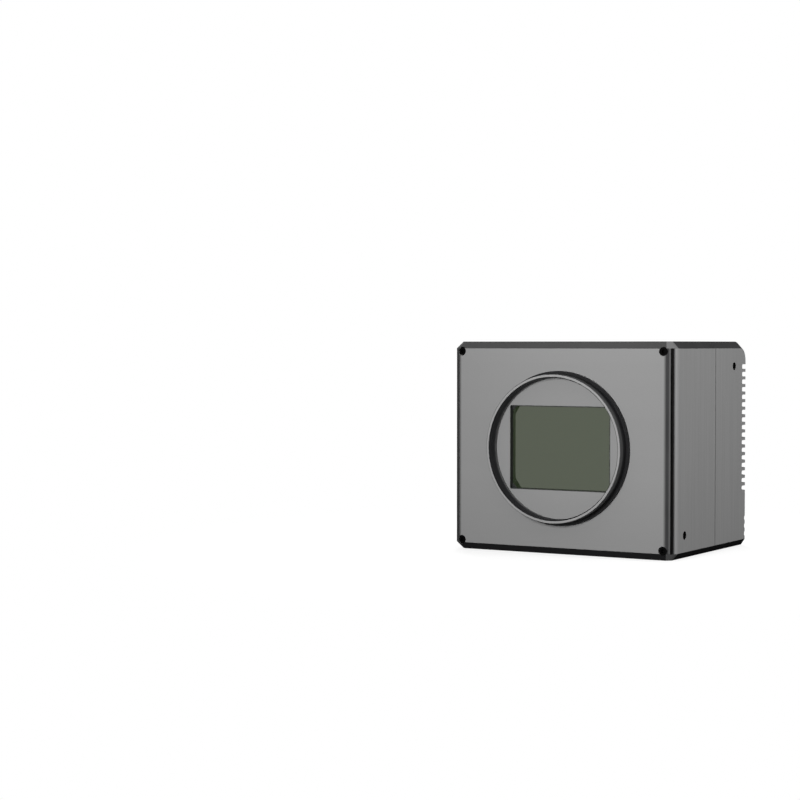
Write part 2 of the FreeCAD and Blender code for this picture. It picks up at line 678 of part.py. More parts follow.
def processor_board():
    """Main circuit board."""
    y0, y1 = PROCESSOR_BOARD_Y, PROCESSOR_BOARD_Y + BOARD_T
    board = slab(*PROCESSOR_BOARD, y0, y1, 3.0)
    return board.cut([prism_y(x, z, 1.7, y0, y1) for x, z in processor_board_positions()])


def processor_board_screws():
    """Screws of the processor board."""
    return group([hexagon_screw_y(x, z, PROCESSOR_BOARD_Y, 1, M3, 9.0)
                  for x, z in processor_board_positions()])


def processor_chip():
    """Image processor with its stepped lid."""
    y = PROCESSOR_BOARD_Y + BOARD_T
    half = CHIP_SIZE / 2
    base = slab(half, CHIP_Z - half, CHIP_Z + half, y, y + CHIP_T * 0.45)
    inner = half - CHIP_STEP
    lid = slab(inner, CHIP_Z - inner, CHIP_Z + inner, y + CHIP_T * 0.45, y + CHIP_T, 1.5)
    return base.fuse(lid).removeSplitter()


def chip_pad_y():
    """Depths of the pad between the processor and its pedestal."""
    y = PROCESSOR_BOARD_Y + BOARD_T + CHIP_T
    return (y, y + CHIP_PAD_T)


def processor_thermal_pad():
    """Soft pad between the processor and the heat sink."""
    half = CHIP_SIZE / 2 - CHIP_STEP
    return slab(half, CHIP_Z - half, CHIP_Z + half, *chip_pad_y())


def memory_chips():
    """Memory beside the processor."""
    y = PROCESSOR_BOARD_Y + BOARD_T
    width, thickness, height = MEMORY_SIZE
    return group([box(x - width / 2, x + width / 2, y, y + thickness, z - height / 2, z + height / 2)
                  for x, z in mirrored_pairs(MEMORY_X, (CHIP_Z - MEMORY_UP, CHIP_Z + MEMORY_UP))])


# ---------------------------------------------------------------- sockets and flat cables
def cable_socket(size, y0):
    """Socket of a flat cable on a board."""
    half, low, high = size
    return box(-half, half, y0, y0 + SOCKET_T, low, high)


def sensor_board_socket():
    """Cable socket on the back of the sensor board."""
    return cable_socket(SENSOR_SOCKET, SENSOR_BOARD_Y + BOARD_T)


def processor_upper_socket():
    """Socket of the sensor cable on the front of the processor board."""
    return cable_socket(UPPER_SOCKET, PROCESSOR_BOARD_Y - SOCKET_T)


def processor_lower_socket():
    """Socket of the interface cable on the back of the processor board."""
    return cable_socket(LOWER_SOCKET, PROCESSOR_BOARD_Y + BOARD_T)


def interface_board_y():
    """Depths of the interface board."""
    return (BAY_FACE_Y - BOARD_T, BAY_FACE_Y)


def interface_socket():
    """Socket on the front of the interface board."""
    return cable_socket(INTERFACE_SOCKET, interface_board_y()[0] - SOCKET_T)


def sensor_flex():
    """Flat cable from the sensor board under the cold plate to the processor board."""
    half_w, bend = SENSOR_FLEX
    start_y = SENSOR_BOARD_Y + BOARD_T + SOCKET_T
    end_y = PROCESSOR_BOARD_Y - SOCKET_T
    low, high = sum(SENSOR_SOCKET[1:]) / 2, sum(UPPER_SOCKET[1:]) / 2
    return ribbon([(start_y, low), (end_y - 8, low), (end_y - 8, high), (end_y, high)], bend, FLEX_T, half_w)


def interface_flex():
    """Flat cable from the processor board down to the interface board."""
    half_w, bend = INTERFACE_FLEX
    top_y = PROCESSOR_BOARD_Y + BOARD_T + SOCKET_T / 2
    low_y = interface_board_y()[0] - SOCKET_T / 2
    top, low = LOWER_SOCKET[1], INTERFACE_SOCKET[2]
    return ribbon([(top_y, top), (top_y, top - 2.4), (low_y, low + 2.7), (low_y, low)], bend, FLEX_T, half_w)


# ---------------------------------------------------------------- interface board and connector panel
def interface_board_positions():
    """Centres of the interface board's two screws."""
    return mirrored_pairs(INTERFACE_SCREW_X, (CONNECTOR_Z,))


def interface_board():
    """Circuit board behind the connectors."""
    y0, y1 = interface_board_y()
    board = slab(*INTERFACE_BOARD, y0, y1, 2.0)
    return board.cut([prism_y(x, z, 1.4, y0, y1) for x, z in interface_board_positions()])


def interface_board_screws():
    """Screws of the interface board."""
    seat = interface_board_y()[0]
    return group([hexagon_screw_y(x, z, seat, 1, M2_5, 6.4) for x, z in interface_board_positions()])


def power_inductors():
    """Coils of the power supply on the interface board."""
    y = interface_board_y()[0]
    width, thickness, height = INDUCTOR_SIZE
    return group([box(x - width / 2, x + width / 2, y - thickness, y, INDUCTOR_Z, INDUCTOR_Z + height)
                  for x in INDUCTOR_X])


def panel_y():
    """Depths of the connector panel's two faces."""
    inner = BODY_D - RECESS_DEPTH + PANEL_GASKET_T
    return (inner, inner + PANEL_T)


def panel_positions():
    """Centres of the panel's screws."""
    x, up = PANEL_SCREW
    return mirrored_pairs(x, (CONNECTOR_Z - up, CONNECTOR_Z + up))


def panel_outline(y0, y1, rounded):
    """Plate that fits the recess with a little play."""
    half, low, high = RECESS
    play = PANEL_CLEAR
    return slab(half - play, low + play, high - play, y0, y1, PANEL_CORNER_R - play, rounded)


def panel_gasket():
    """Flat seal under the connector panel."""
    seat = BODY_D - RECESS_DEPTH
    frame = panel_outline(seat, seat + PANEL_GASKET_T, rounded=False)
    holes = [prism_y(x, z, 1.5, seat, seat + PANEL_GASKET_T) for x, z in panel_positions()]
    return frame.cut([slab(*WINDOW, seat - 1, seat + 2, 2.0)] + holes)


def connector_panel():
    """Plate with the holes for the connectors."""
    y0, y1 = panel_y()
    holes = [prism_y(x, CONNECTOR_Z, COAX_NECK[0] + PANEL_PLAY, y0, y1) for x in COAX_X]
    holes.append(prism_y(POWER_X, CONNECTOR_Z, POWER_NECK[0] + PANEL_PLAY, y0, y1))
    holes.append(prism_y(LIGHT_X, CONNECTOR_Z, LIGHT_PIPE[0] + NUT_PLAY, y0, y1, HEAD_SIDES))
    holes += [prism_y(x, z, 1.4, y0, y1) for x, z in panel_positions()]
    return panel_outline(y0, y1, rounded=True).cut(holes)


def panel_screws():
    """Screws of the connector panel."""
    seat = panel_y()[1]
    return group([socket_screw_y(x, z, seat, -1, M2_5[0], 7.2, *PANEL_SCREW_HEAD) for x, z in panel_positions()])


def coax_jack(x):
    """Jack: barrel with a flange on the panel, threaded neck and tail down to the board."""
    face = panel_y()[1]
    flange_top = face + COAX_FLANGE[1]
    top = face + COAX_BARREL[1]
    floor = face + COAX_BORE[1]
    neck_end = face - COAX_NECK[1]
    jack = prism_y(x, CONNECTOR_Z, COAX_FLANGE[0], face, flange_top, BARREL_SIDES)
    jack = jack.fuse(prism_y(x, CONNECTOR_Z, COAX_BARREL[0], flange_top, top, BARREL_SIDES))
    jack = jack.cut(prism_y(x, CONNECTOR_Z, COAX_BORE[0], floor, top, BARREL_SIDES))
    neck = prism_y(x, CONNECTOR_Z, COAX_NECK[0], neck_end, face)
    tail = prism_y(x, CONNECTOR_Z, COAX_TAIL_R, BAY_FACE_Y, neck_end + 0.5)
    hollow = prism_y(x, CONNECTOR_Z, COAX_CORE_R, BAY_FACE_Y, floor)
    return jack.fuse(neck.fuse(tail)).cut(hollow).removeSplitter()


def coax_insulator(x):
    """White plastic core of a jack: a disc on the floor of the bore and a stem through the neck."""
    face = panel_y()[1]
    floor = face + COAX_BORE[1]
    top = face + COAX_DISC_TOP
    disc = prism_y(x, CONNECTOR_Z, COAX_BORE[0] - CORE_PLAY, floor, top, BARREL_SIDES)
    stem = prism_y(x, CONNECTOR_Z, COAX_CORE_R - CORE_PLAY, BAY_FACE_Y, floor)
    hole = prism_y(x, CONNECTOR_Z, COAX_CONTACT[0] + CORE_PLAY, BAY_FACE_Y, top)
    return disc.fuse(stem).cut(hole).removeSplitter()


def coax_contact(x):
    """Gold centre contact of a jack, from the board to just inside the rim."""
    radius, end = COAX_CONTACT
    return prism_y(x, CONNECTOR_Z, radius, BAY_FACE_Y, panel_y()[1] + end)


def nut(x, size, neck_r):
    """Hexagonal nut on the inner face of the panel."""
    across_flats, thickness = size
    inner = panel_y()[0]
    body = hexagon_y(x, CONNECTOR_Z, across_flats, inner - thickness, inner)
    return body.cut(prism_y(x, CONNECTOR_Z, neck_r + NUT_PLAY, inner - thickness, inner))


def coax_nuts():
    """Nuts behind the four jacks."""
    return group([nut(x, COAX_NUT, COAX_NECK[0]) for x in COAX_X])


def power_socket_shell():
    """Round push-pull socket: flange, barrel with a key slot, and a threaded neck."""
    face = panel_y()[1]
    flange_top = face + POWER_FLANGE[1]
    top = face + POWER_BARREL[1]
    floor = face + POWER_BORE[1]
    neck_end = face - POWER_NECK[1]
    shell = prism_y(POWER_X, CONNECTOR_Z, POWER_FLANGE[0], face, flange_top, BARREL_SIDES)
    shell = shell.fuse(prism_y(POWER_X, CONNECTOR_Z, POWER_BARREL[0], flange_top, top, BARREL_SIDES))
    shell = shell.cut(prism_y(POWER_X, CONNECTOR_Z, POWER_BORE[0], floor, top, BARREL_SIDES))
    shell = shell.fuse(prism_y(POWER_X, CONNECTOR_Z, POWER_NECK[0], neck_end, face))
    hollow = prism_y(POWER_X, CONNECTOR_Z, POWER_CORE_R, neck_end, floor)
    half, low, high = POWER_KEY
    key = box(POWER_X - half, POWER_X + half, flange_top, top + 1, CONNECTOR_Z + low, CONNECTOR_Z + high)
    return shell.cut([hollow, key]).removeSplitter()


def power_socket_insert():
    """Insulating core of the power socket, down to the board."""
    face = panel_y()[1]
    floor = face + POWER_BORE[1]
    disc = prism_y(POWER_X, CONNECTOR_Z, POWER_BORE[0] - 0.03, floor, face + POWER_FLANGE[1], BARREL_SIDES)
    stem = prism_y(POWER_X, CONNECTOR_Z, POWER_CORE_R - CORE_PLAY, BAY_FACE_Y, floor)
    return disc.fuse(stem).removeSplitter()


def pin_positions():
    """Centres of the twelve contacts: nine on a circle and three inside it."""
    spots = []
    for count, radius in POWER_PIN_CIRCLES:
        angles = [2 * math.pi * (i + 0.5) / count + math.pi / 2 for i in range(count)]
        spots += [(POWER_X + radius * math.cos(a), CONNECTOR_Z + radius * math.sin(a)) for a in angles]
    return spots


def power_socket_pins():
    """Contacts of the power socket, standing on the insert."""
    face = panel_y()[1]
    radius, end = POWER_PIN
    return group([prism_y(x, z, radius, face + POWER_FLANGE[1], face + end, PIN_SIDES)
                  for x, z in pin_positions()])


def power_socket_nut():
    """Nut of the power socket."""
    return nut(POWER_X, POWER_NUT, POWER_NECK[0])


def status_light_pipe():
    """Clear rod that brings the status light to the panel."""
    outer = panel_y()[1]
    shoulder = outer + LIGHT_PIPE[1]
    rod = prism_y(LIGHT_X, CONNECTOR_Z, LIGHT_PIPE[0], BAY_FACE_Y + LED_SIZE[1], shoulder, HEAD_SIDES)
    return rod.fuse(prism_y(LIGHT_X, CONNECTOR_Z, LIGHT_TIP[0], shoulder, outer + LIGHT_TIP[1], HEAD_SIDES))


def status_led():
    """Lamp chip under the light pipe."""
    width, thickness, height = LED_SIZE
    y = BAY_FACE_Y
    return box(LIGHT_X - width / 2, LIGHT_X + width / 2, y, y + thickness,
               CONNECTOR_Z - height / 2, CONNECTOR_Z + height / 2)


# ---------------------------------------------------------------- output
def assembly():
    """All sub-parts by node name."""
    pieces = {f.__name__: f() for f in (
        front_housing, rear_housing, corner_tie_screws, lens_mount_ring, ring_screws, light_baffle,
        filter_glass, filter_gasket, filter_retainer, retainer_screws, sensor_cover_glass, sensor_package,
        sensor_die, sensor_board, sensor_board_screws, sensor_thermal_pad, cold_plate, cold_plate_screws,
        processor_board, processor_board_screws, processor_chip, processor_thermal_pad, memory_chips,
        sensor_board_socket, processor_upper_socket, processor_lower_socket, interface_socket, sensor_flex,
        interface_flex, interface_board, interface_board_screws, power_inductors, panel_gasket,
        connector_panel, panel_screws, coax_nuts, power_socket_shell, power_socket_insert, power_socket_pins,
        power_socket_nut, status_light_pipe, status_led)}
    pieces["housing_gasket"] = gasket_loop()
    for number, x in enumerate(COAX_X, start=1):
        pieces["coax_jack_%d" % number] = coax_jack(x)
        pieces["coax_insulator_%d" % number] = coax_insulator(x)
        pieces["coax_contact_%d" % number] = coax_contact(x)
    return pieces


for node, shape in assembly().items():
    shape.translate(V(0, -BODY_D / 2, 0))
    shape.exportStep("parts/%s.step" % node)
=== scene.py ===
import json
import math

import bpy
import numpy as np
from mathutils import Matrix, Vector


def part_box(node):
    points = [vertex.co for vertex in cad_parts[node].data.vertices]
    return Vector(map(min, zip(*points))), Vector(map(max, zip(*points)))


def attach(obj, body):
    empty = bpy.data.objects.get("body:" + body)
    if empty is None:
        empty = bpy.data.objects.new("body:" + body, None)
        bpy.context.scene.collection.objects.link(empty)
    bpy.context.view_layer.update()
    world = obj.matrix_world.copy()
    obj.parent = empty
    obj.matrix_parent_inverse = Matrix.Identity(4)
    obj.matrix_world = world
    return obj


bl_info = {
    "name": "Machine Vision Camera Finishes",
    "version": (1, 0, 0),
    "blender": (4, 5, 0),
    "location": "View3D > Sidebar > Camera",
    "description": "Finishes, cut threads and a pale studio for a machine vision camera",
    "category": "Material",
}

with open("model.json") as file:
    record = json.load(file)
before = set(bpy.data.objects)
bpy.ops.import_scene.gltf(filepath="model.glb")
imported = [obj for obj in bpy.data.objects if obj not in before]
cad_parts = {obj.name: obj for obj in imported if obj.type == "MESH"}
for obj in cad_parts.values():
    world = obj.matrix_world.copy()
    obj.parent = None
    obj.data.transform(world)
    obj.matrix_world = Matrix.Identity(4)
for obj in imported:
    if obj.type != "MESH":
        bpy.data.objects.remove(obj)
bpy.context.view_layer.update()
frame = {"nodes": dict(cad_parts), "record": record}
NODES = frame["nodes"]
MOUNTS = frame["record"]["mounts"]
MM = 0.001

FRONT_LOW, FRONT_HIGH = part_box("front_housing")
RING_LOW, RING_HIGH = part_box("lens_mount_ring")
WIDTH = FRONT_HIGH[0] - FRONT_LOW[0]
HEIGHT = FRONT_HIGH[2] - FRONT_LOW[2]
FACE_Y = FRONT_LOW[1]
SEAM_Y = FRONT_HIGH[1]
BACK_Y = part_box("rear_housing")[1][1]
AXIS_Z = (RING_LOW[2] + RING_HIGH[2]) / 2
RIM_Y = RING_LOW[1]

GREY_NODES = ("front_housing", "rear_housing")
COAX = (1, 2, 3, 4)


# ---------------------------------------------------------------- settings
def colour(name, description, default):
    """Colour property in linear values."""
    return bpy.props.FloatVectorProperty(name=name, description=description, default=default,
                                         subtype="COLOR", size=3, min=0.0, max=1.0)


def length(name, description, default):
    """Length property in metres."""
    return bpy.props.FloatProperty(name=name, description=description, default=default,
                                   subtype="DISTANCE", unit="LENGTH", min=0.0, precision=5)


def share(name, description, default):
    """Property between 0 and 1."""
    return bpy.props.FloatProperty(name=name, description=description, default=default,
                                   subtype="FACTOR", min=0.0, max=1.0)


def angle(name, description, degrees):
    """Angle property, with its default in degrees."""
    return bpy.props.FloatProperty(name=name, description=description, default=math.radians(degrees),
                                   subtype="ANGLE", unit="ROTATION")


def power(name, description, default):
    """Power of a lamp in watts."""
    return bpy.props.FloatProperty(name=name, description=description, default=default,
                                   subtype="POWER", unit="POWER", min=0.0)


class HousingSettings(bpy.types.PropertyGroup):
    """Anodised skin of the two housing halves."""
    face: colour("Face", "Bead-blasted grey of the flat faces", (0.285, 0.285, 0.285))
    # Painted reflection: the smoother cut edges are painted dark grey for the dark reflection in them.
    cut: colour("Cut edges", "Dark grey of the chamfers that are cut after blasting", (0.048, 0.048, 0.049))
    # Painted light: the upper front chamfer is painted lighter, as if lit from above.
    brow_painted_light: colour("Brow", "Lighter grey of the upper front chamfer", (0.080, 0.080, 0.080))
    # Painted shade: the lower chamfers are painted near black, as if in shade from below.
    sole_painted_shade: colour("Sole", "Near black of the lower chamfers", (0.024, 0.024, 0.025))
    # Painted light: the small corner facets are painted lighter than the chamfers they join, for the light they
    # catch.
    facet_painted_light: colour("Corner facets", "Grey of the small corner facets", (0.170, 0.170, 0.171))
    # Painted shade: the bottoms of the corner slots and the walls of the side holes are painted near black.
    slot: colour("Corner slots", "Bottom of the slots and holes", (0.014, 0.014, 0.014))
    chamfer: length("Chamfer", "Width of the long edge chamfers", 3.4 * MM)
    corner: length("Corner chamfer", "Width of the upright front chamfers", 4.3 * MM)
    slot_from: length("Slot start", "Start of the corner slot along its chamfer, from the front face", 1.72 * MM)
    slot_to: length("Slot end", "End of the corner slot along its chamfer, from the front face", 2.88 * MM)
    rear_round: length("Rear round", "Radius of the upper rear edge", 10.0 * MM)
    # Painted shade: the face is painted darker over this width towards its upright edges, down to the tone below.
    roll: length("Roll", "Width over which the face darkens towards its upright edges", 1.6 * MM)
    edge_shade_tone: share("Roll tone", "Tone of the face at its upright edges", 0.30)
    # Painted shade: the rounded strip behind each slot is painted darker, with this share of the edge tone.
    lip_painted_shade: share("Lip", "How much of that tone the corner has behind its slot", 0.75)
    # Painted highlight: the strip of the slant before each slot is painted lighter, with this share of the face's
    # grey.
    land: share("Land", "How much of the face's grey the land before the slot has", 0.25)
    seam: length("Seam", "Half the width of the dark line along the joint", 0.28 * MM)
    seam_depth: share("Seam depth", "How dark the line along the joint is", 0.7)
    grain: length("Grain", "Size of the blasted grain", 0.35 * MM)
    strokes: bpy.props.FloatProperty(name="Strokes", description="Strength of the faint strokes under the grain",
                                     default=1.8, min=0.0)
    face_roughness: share("Face roughness", "Roughness of the blasted faces", 0.55)
    cut_roughness: share("Edge roughness", "Roughness of the cut edges", 0.30)


class RingSettings(bpy.types.PropertyGroup):
    """Turned lens mount ring."""
    rim: colour("Rim", "Grey of the rim's face", (0.310, 0.310, 0.310))
    wall: colour("Walls", "Dark satin of the turned walls", (0.016, 0.016, 0.017))
    # Painted light: a band of the ring's outside next to the rim is painted lighter than the rest of its wall.
    collar_painted_light: colour("Collar", "Lighter band round the outside next to the rim", (0.056, 0.056, 0.057))
    collar_width: length("Collar width", "Width of the lighter band", 3.0 * MM)
    # Painted light: the inner wall of the ring is painted lighter towards the face, over the depth below.
    foot: colour("Foot", "Lighter inner wall at the foot of the ring", (0.190, 0.190, 0.190))
    foot_width: length("Foot width", "Depth of the lighter foot", 3.6 * MM)
    rim_edge: length("Rim edge", "Radius where the rim's grey face ends", 37.10 * MM)
    lathe: length("Turning pitch", "Distance between the fine turned lines", 0.22 * MM)
    thread_radius: length("Thread radius", "Radius of the bore that the thread ridge stands on", 35.6 * MM)
    thread_pitch: length("Thread pitch", "Pitch of the lens thread", 0.75 * MM)
    thread_height: length("Thread height", "Height of the thread ridge", 0.28 * MM)


class OpticsSettings(bpy.types.PropertyGroup):
    """Window, sensor and what surrounds them."""
    glass: colour("Filter glass", "Grey-green body of the filter glass", (0.030, 0.043, 0.021))
    sheen: colour("Glass sheen", "Tint of the filter glass's reflection", (0.96, 1.0, 0.86))
    baffle: colour("Baffle", "Black of the light baffle", (0.004, 0.005, 0.004))
    steel: colour("Retainer", "Spring steel of the glass's retainer", (0.35, 0.35, 0.36))
    ceramic: colour("Sensor package", "Fired ceramic", (0.30, 0.28, 0.27))
    silicon: colour("Sensor", "Polished silicon", (0.050, 0.070, 0.060))
    clear: colour("Clear glass", "Sensor cover glass", (0.90, 0.95, 0.92))
    frosted: colour("Light pipe", "Frosted plastic of the light pipe", (0.66, 0.70, 0.66))


class InnerSettings(bpy.types.PropertyGroup):
    """Boards, chips, pads and hardware inside the housing."""
    mask: colour("Solder mask", "Green lacquer of the boards", (0.012, 0.085, 0.035))
    copper: colour("Copper lines", "Lighter green over the copper lines", (0.030, 0.170, 0.075))
    tinned: colour("Board pads", "Plated pads of the boards", (0.70, 0.55, 0.25))
    moulding: colour("Chip moulding", "Black chip bodies", (0.022, 0.022, 0.024))
    pad: colour("Thermal pads", "Soft blue-grey silicone", (0.30, 0.37, 0.50))
    milled: colour("Milled aluminium", "Bare cold plate", (0.62, 0.62, 0.63))
    socket: colour("Sockets", "Ivory board sockets", (0.62, 0.58, 0.48))
    film: colour("Flexible circuits", "Amber film", (0.50, 0.20, 0.03))
    rubber: colour("Rubber", "Black seals", (0.016, 0.016, 0.016))
    ferrite: colour("Inductors", "Pressed ferrite", (0.09, 0.09, 0.095))
    lamp: colour("Lamp chip", "Pale yellow body of the status lamp", (0.70, 0.74, 0.45))


class HardwareSettings(bpy.types.PropertyGroup):
    """Screws, connectors and threaded holes."""
    black: colour("Black oxide", "Screws that show", (0.0015, 0.0015, 0.0015))
    zinc: colour("Zinc", "Screws inside", (0.55, 0.55, 0.57))
    panel: colour("Panel", "Black anodising of the connector panel", (0.022, 0.022, 0.023))
    nickel: colour("Nickel", "Plated connector bodies", (0.62, 0.60, 0.55))
    gold: colour("Gold", "Contacts", (0.83, 0.58, 0.20))
    white: colour("White insulator", "Fluoropolymer cores", (0.78, 0.78, 0.75))
    insert: colour("Black insert", "Core of the power socket", (0.018, 0.018, 0.018))
    # Painted shade: the turns of the threads in the holes are painted near black.
    thread: colour("Cut thread", "Shaded turns of the threads in the holes", (0.012, 0.012, 0.012))
    side_radius: length("Side hole radius", "Bore of the threaded side holes", 2.1 * MM)
    side_pitch: length("Side hole pitch", "Pitch of the side hole threads", 0.8 * MM)
    base_radius: length("Base hole radius", "Bore of the threaded base holes", 1.65 * MM)
    base_pitch: length("Base hole pitch", "Pitch of the base hole threads", 0.7 * MM)
    depth: length("Thread depth", "Depth of the threads in the side and base holes", 5.9 * MM)
    jack_radius: length("Jack radius", "Outer radius of the jack barrels", 3.45 * MM)
    jack_pitch: length("Jack pitch", "Pitch of the thread on the jack barrels", 0.7 * MM)


class StudioSettings(bpy.types.PropertyGroup):
    """Camera, lamps and floor."""
    lens: bpy.props.FloatProperty(name="Focal length", description="Lens of the view, in millimetres",
                                  default=87.7, min=1.0)
    turn: angle("Turn", "Turn of the view to the right of the front", 31.50)
    tilt: angle("Tilt", "Downward tilt of the view", 1.65)
    place: bpy.props.FloatVectorProperty(name="Camera place", description="Where the camera stands",
                                         default=(0.4413, -0.9209, 0.1058), subtype="TRANSLATION", unit="LENGTH")
    front: power("Front lamp", "Power of the soft lamp in front", 0.745)
    side: power("Side lamp", "Power of the soft lamp at the right", 0.36)
    back: power("Back lamp", "Power of the soft lamp behind, at the left", 2.6)
    fill: share("Room light", "Strength of the even light from all round", 0.44)
    ground: share("Ground", "Grey of the floor where it lights the object", 0.08)
    shade: share("Shade", "Grey of the floor that takes the object's shadow", 0.30)
    glow: share("Glow", "Light of the floor close to the object", 0.78)
    shade_from: length("Shade start", "Distance up to which the floor takes the full shadow", 0.09)
    shade_to: length("Shade end", "Distance past which the floor is plain white", 0.26)


# ---------------------------------------------------------------- node helpers
FLOAT, VECTOR = "NodeSocketFloat", "NodeSocketVector"


def rgba(values):
    """Colour with full alpha."""
    return (*values[:3], 1.0)


def scaled(values, factor):
    """Colour made darker or lighter by a factor."""
    return rgba([min(value * factor, 1.0) for value in values[:3]])


class Tree:
    """Places nodes in a node tree and joins them: an input is given a socket or a plain value."""

    def __init__(self, tree):
        self.tree = tree

    def add(self, kind, inputs=None, **settings):
        """One node with its settings and inputs."""
        node = self.tree.nodes.new(kind)
        for key, value in settings.items():
            setattr(node, key, value)
        for key, value in (inputs or {}).items():
            self.feed(node.inputs[key], value)
        return node

    def feed(self, socket, value):
        """Joins a socket to an input, or sets the input's plain value."""
        if isinstance(value, bpy.types.NodeSocket):
            self.tree.links.new(value, socket)
        else:
            socket.default_value = value

    def math(self, operation, *values):
        """Result of one arithmetic step."""
        return self.add("ShaderNodeMath", dict(enumerate(values)), operation=operation).outputs[0]

    def plus(self, first, second):
        """Sum."""
        return self.math("ADD", first, second)

    def minus(self, first, second):
        """Difference."""
        return self.math("SUBTRACT", first, second)

    def times(self, first, *others):
        """Product: of masks, it is 1 where all of them are 1."""
        for other in others:
            first = self.math("MULTIPLY", first, other)
        return first

    def over(self, first, second):
        """Quotient."""
        return self.math("DIVIDE", first, second)

    def least(self, first, *others):
        """Smallest of several values."""
        for other in others:
            first = self.math("MINIMUM", first, other)
        return first

    def most(self, first, second):
        """Larger of two values: of masks, it is 1 where one of them is 1."""
        return self.math("MAXIMUM", first, second)

    def less(self, first, second):
        """1 where the first value is less than the second."""
        return self.math("LESS_THAN", first, second)

    def more(self, first, second):
        """1 where the first value is more than the second."""
        return self.math("GREATER_THAN", first, second)

    def no(self, mask):
        """1 where the mask is 0."""
        return self.minus(1.0, mask)

    def size(self, value):
        """Value without its sign."""
        return self.math("ABSOLUTE", value)

    def hypotenuse(self, first, second):
        """Length of the hypotenuse over two values."""
        return self.math("SQRT", self.math("MULTIPLY_ADD", first, first, self.times(second, second)))

    def below(self, value, limit, softness):
        """1 where the value is below the limit, 0 above it, with a soft step between."""
        top = self.plus(limit, softness)
        step = self.add("ShaderNodeMapRange", {"Value": value, "From Min": limit, "From Max": top,
                                               "To Min": 1.0, "To Max": 0.0}, clamp=True)
        return step.outputs[0]

    def ease(self, value, start, end, first, last):
        """Runs smoothly from the first result at the start to the last one at the end."""
        return self.add("ShaderNodeMapRange", {"Value": value, "From Min": start, "From Max": end,
                                               "To Min": first, "To Max": last},
                        interpolation_type="SMOOTHSTEP").outputs[0]

    def mix(self, factor, first, second):
        """Colour between two colours."""
        node = self.add("ShaderNodeMix", data_type="RGBA")
        self.feed(node.inputs["Factor"], factor)
        self.feed(node.inputs[6], first)
        self.feed(node.inputs[7], second)
        return node.outputs[2]

    def blend(self, factor, first, second):
        """Value between two values."""
        node = self.add("ShaderNodeMix", data_type="FLOAT")
        self.feed(node.inputs[0], factor)
        self.feed(node.inputs[2], first)
        self.feed(node.inputs[3], second)
        return node.outputs[0]

    def in_mm(self, vector):
        """Vector in millimetres."""
        node = self.add("ShaderNodeVectorMath", {0: vector}, operation="SCALE")
        node.inputs["Scale"].default_value = 1 / MM
        return node.outputs[0]

    def split(self, vector):
        """The three coordinates of a vector, in millimetres."""
        return self.add("ShaderNodeSeparateXYZ", {0: self.in_mm(vector)}).outputs

    def noise(self, vector, scale, detail, roughness=0.5):
        """Noise between 0 and 1."""
        return self.add("ShaderNodeTexNoise", {"Vector": vector, "Scale": scale, "Detail": detail,
                                               "Roughness": roughness}).outputs["Fac"]


def node_group(name, inputs, outputs):
    """New shader node group: inputs are (name, kind, default), and outputs are names of values."""
    tree = bpy.data.node_groups.new(name, "ShaderNodeTree")
    for label, kind, default in inputs:
        socket = tree.interface.new_socket(label, in_out="INPUT", socket_type=kind)
        if default is not None:
            socket.default_value = default
    for label in outputs:
        tree.interface.new_socket(label, in_out="OUTPUT", socket_type=FLOAT)
    graph = Tree(tree)
    return tree, graph, graph.add("NodeGroupInput").outputs, graph.add("NodeGroupOutput").inputs


# ---------------------------------------------------------------- node groups
# Widths and distances in the housing's zones, in millimetres.
BORDER = 0.05                 # soft width of a border between two finishes
CUT_LAP = 0.10                # how far the finish of a chamfer laps on to the faces
TURNED_IN = 0.08              # how far a corner lies inside the plain edge where facets begin
SKIN = 0.03                   # depth past which a point is no longer on an outer face
SLOT_FLOOR = 1.2              # depth that the corner slots don't reach
# Past this depth the walls of the side holes are painted near black as shade.
HOLE_MOUTH = 0.1              # depth at which the dark wall of a side hole begins
HOLE_LAP = 0.02               # how far that dark reaches past the bore's radius
PAST_ALL = 10.0               # stands for a distance greater than every width here
FACE_SIDE = 1.0               # distance from the side at which the face has begun
# The strip before the slot is painted lighter as a highlight.
LAND_MIDDLE = 0.7             # distance from the slot to the middle of the strip before it
LAND_HALF = 0.35              # half the width over which that strip has its full tone
LAND_FADE = 0.5               # width over which it fades out
# The strip behind the slot is painted darker as shade.
LIP_START = 0.1               # width over which the strip behind the slot has its full tone
LIP_FADE = 1.6                # width over which it fades out


def upper_distance(g, back, top, radius):
    """Distance to the nearer of the back and the top, which a round of this radius joins.

    It is the radius less the hypotenuse over how far the point lies inside the round in both directions.
    """
    past_back = g.most(g.minus(radius, back), 0.0)
    past_top = g.most(g.minus(radius, top), 0.0)
    return g.minus(radius, g.hypotenuse(past_back, past_top))


def corner_distances(g, side, front, corner, slot_to):
    """Distances to the slant of the upright front chamfer and to the whole outline seen from above.

    The slant is where side + front = corner. Past the slot an arc leaves it and runs into the side. With c the
    chamfer and s the end of the slot, the arc's radius is (c - s) / (1 - cos 45), and its middle lies that radius
    from the side and radius * cos 45 + s behind the face.
    """
    half_root = math.sqrt(0.5)
    slant = g.over(g.minus(g.plus(side, front), corner), math.sqrt(2))
    radius = g.over(g.minus(corner, slot_to), 1 - half_root)
    middle = g.math("MULTIPLY_ADD", radius, half_root, slot_to)
    in_x = g.most(g.minus(radius, side), 0.0)
    in_y = g.most(g.minus(middle, front), 0.0)
    arc = g.blend(g.less(in_y, in_x), PAST_ALL, g.minus(radius, g.hypotenuse(in_x, in_y)))
    return slant, g.least(side, front, slant, arc)


def side_holes(g, y, z, side, radius):
    """1 on the walls of the threaded side holes, which stand at the same places on both sides."""
    holes = 0.0
    for mount in MOUNTS:
        if mount["name"].startswith("right"):
            _, hole_y, hole_z = mount["pos_m"]
            reach = g.hypotenuse(g.minus(y, hole_y / MM), g.minus(z, hole_z / MM))
            hole = g.times(g.below(reach, g.plus(radius, HOLE_LAP), BORDER), g.more(side, HOLE_MOUTH))
            holes = g.most(holes, hole)
    return holes


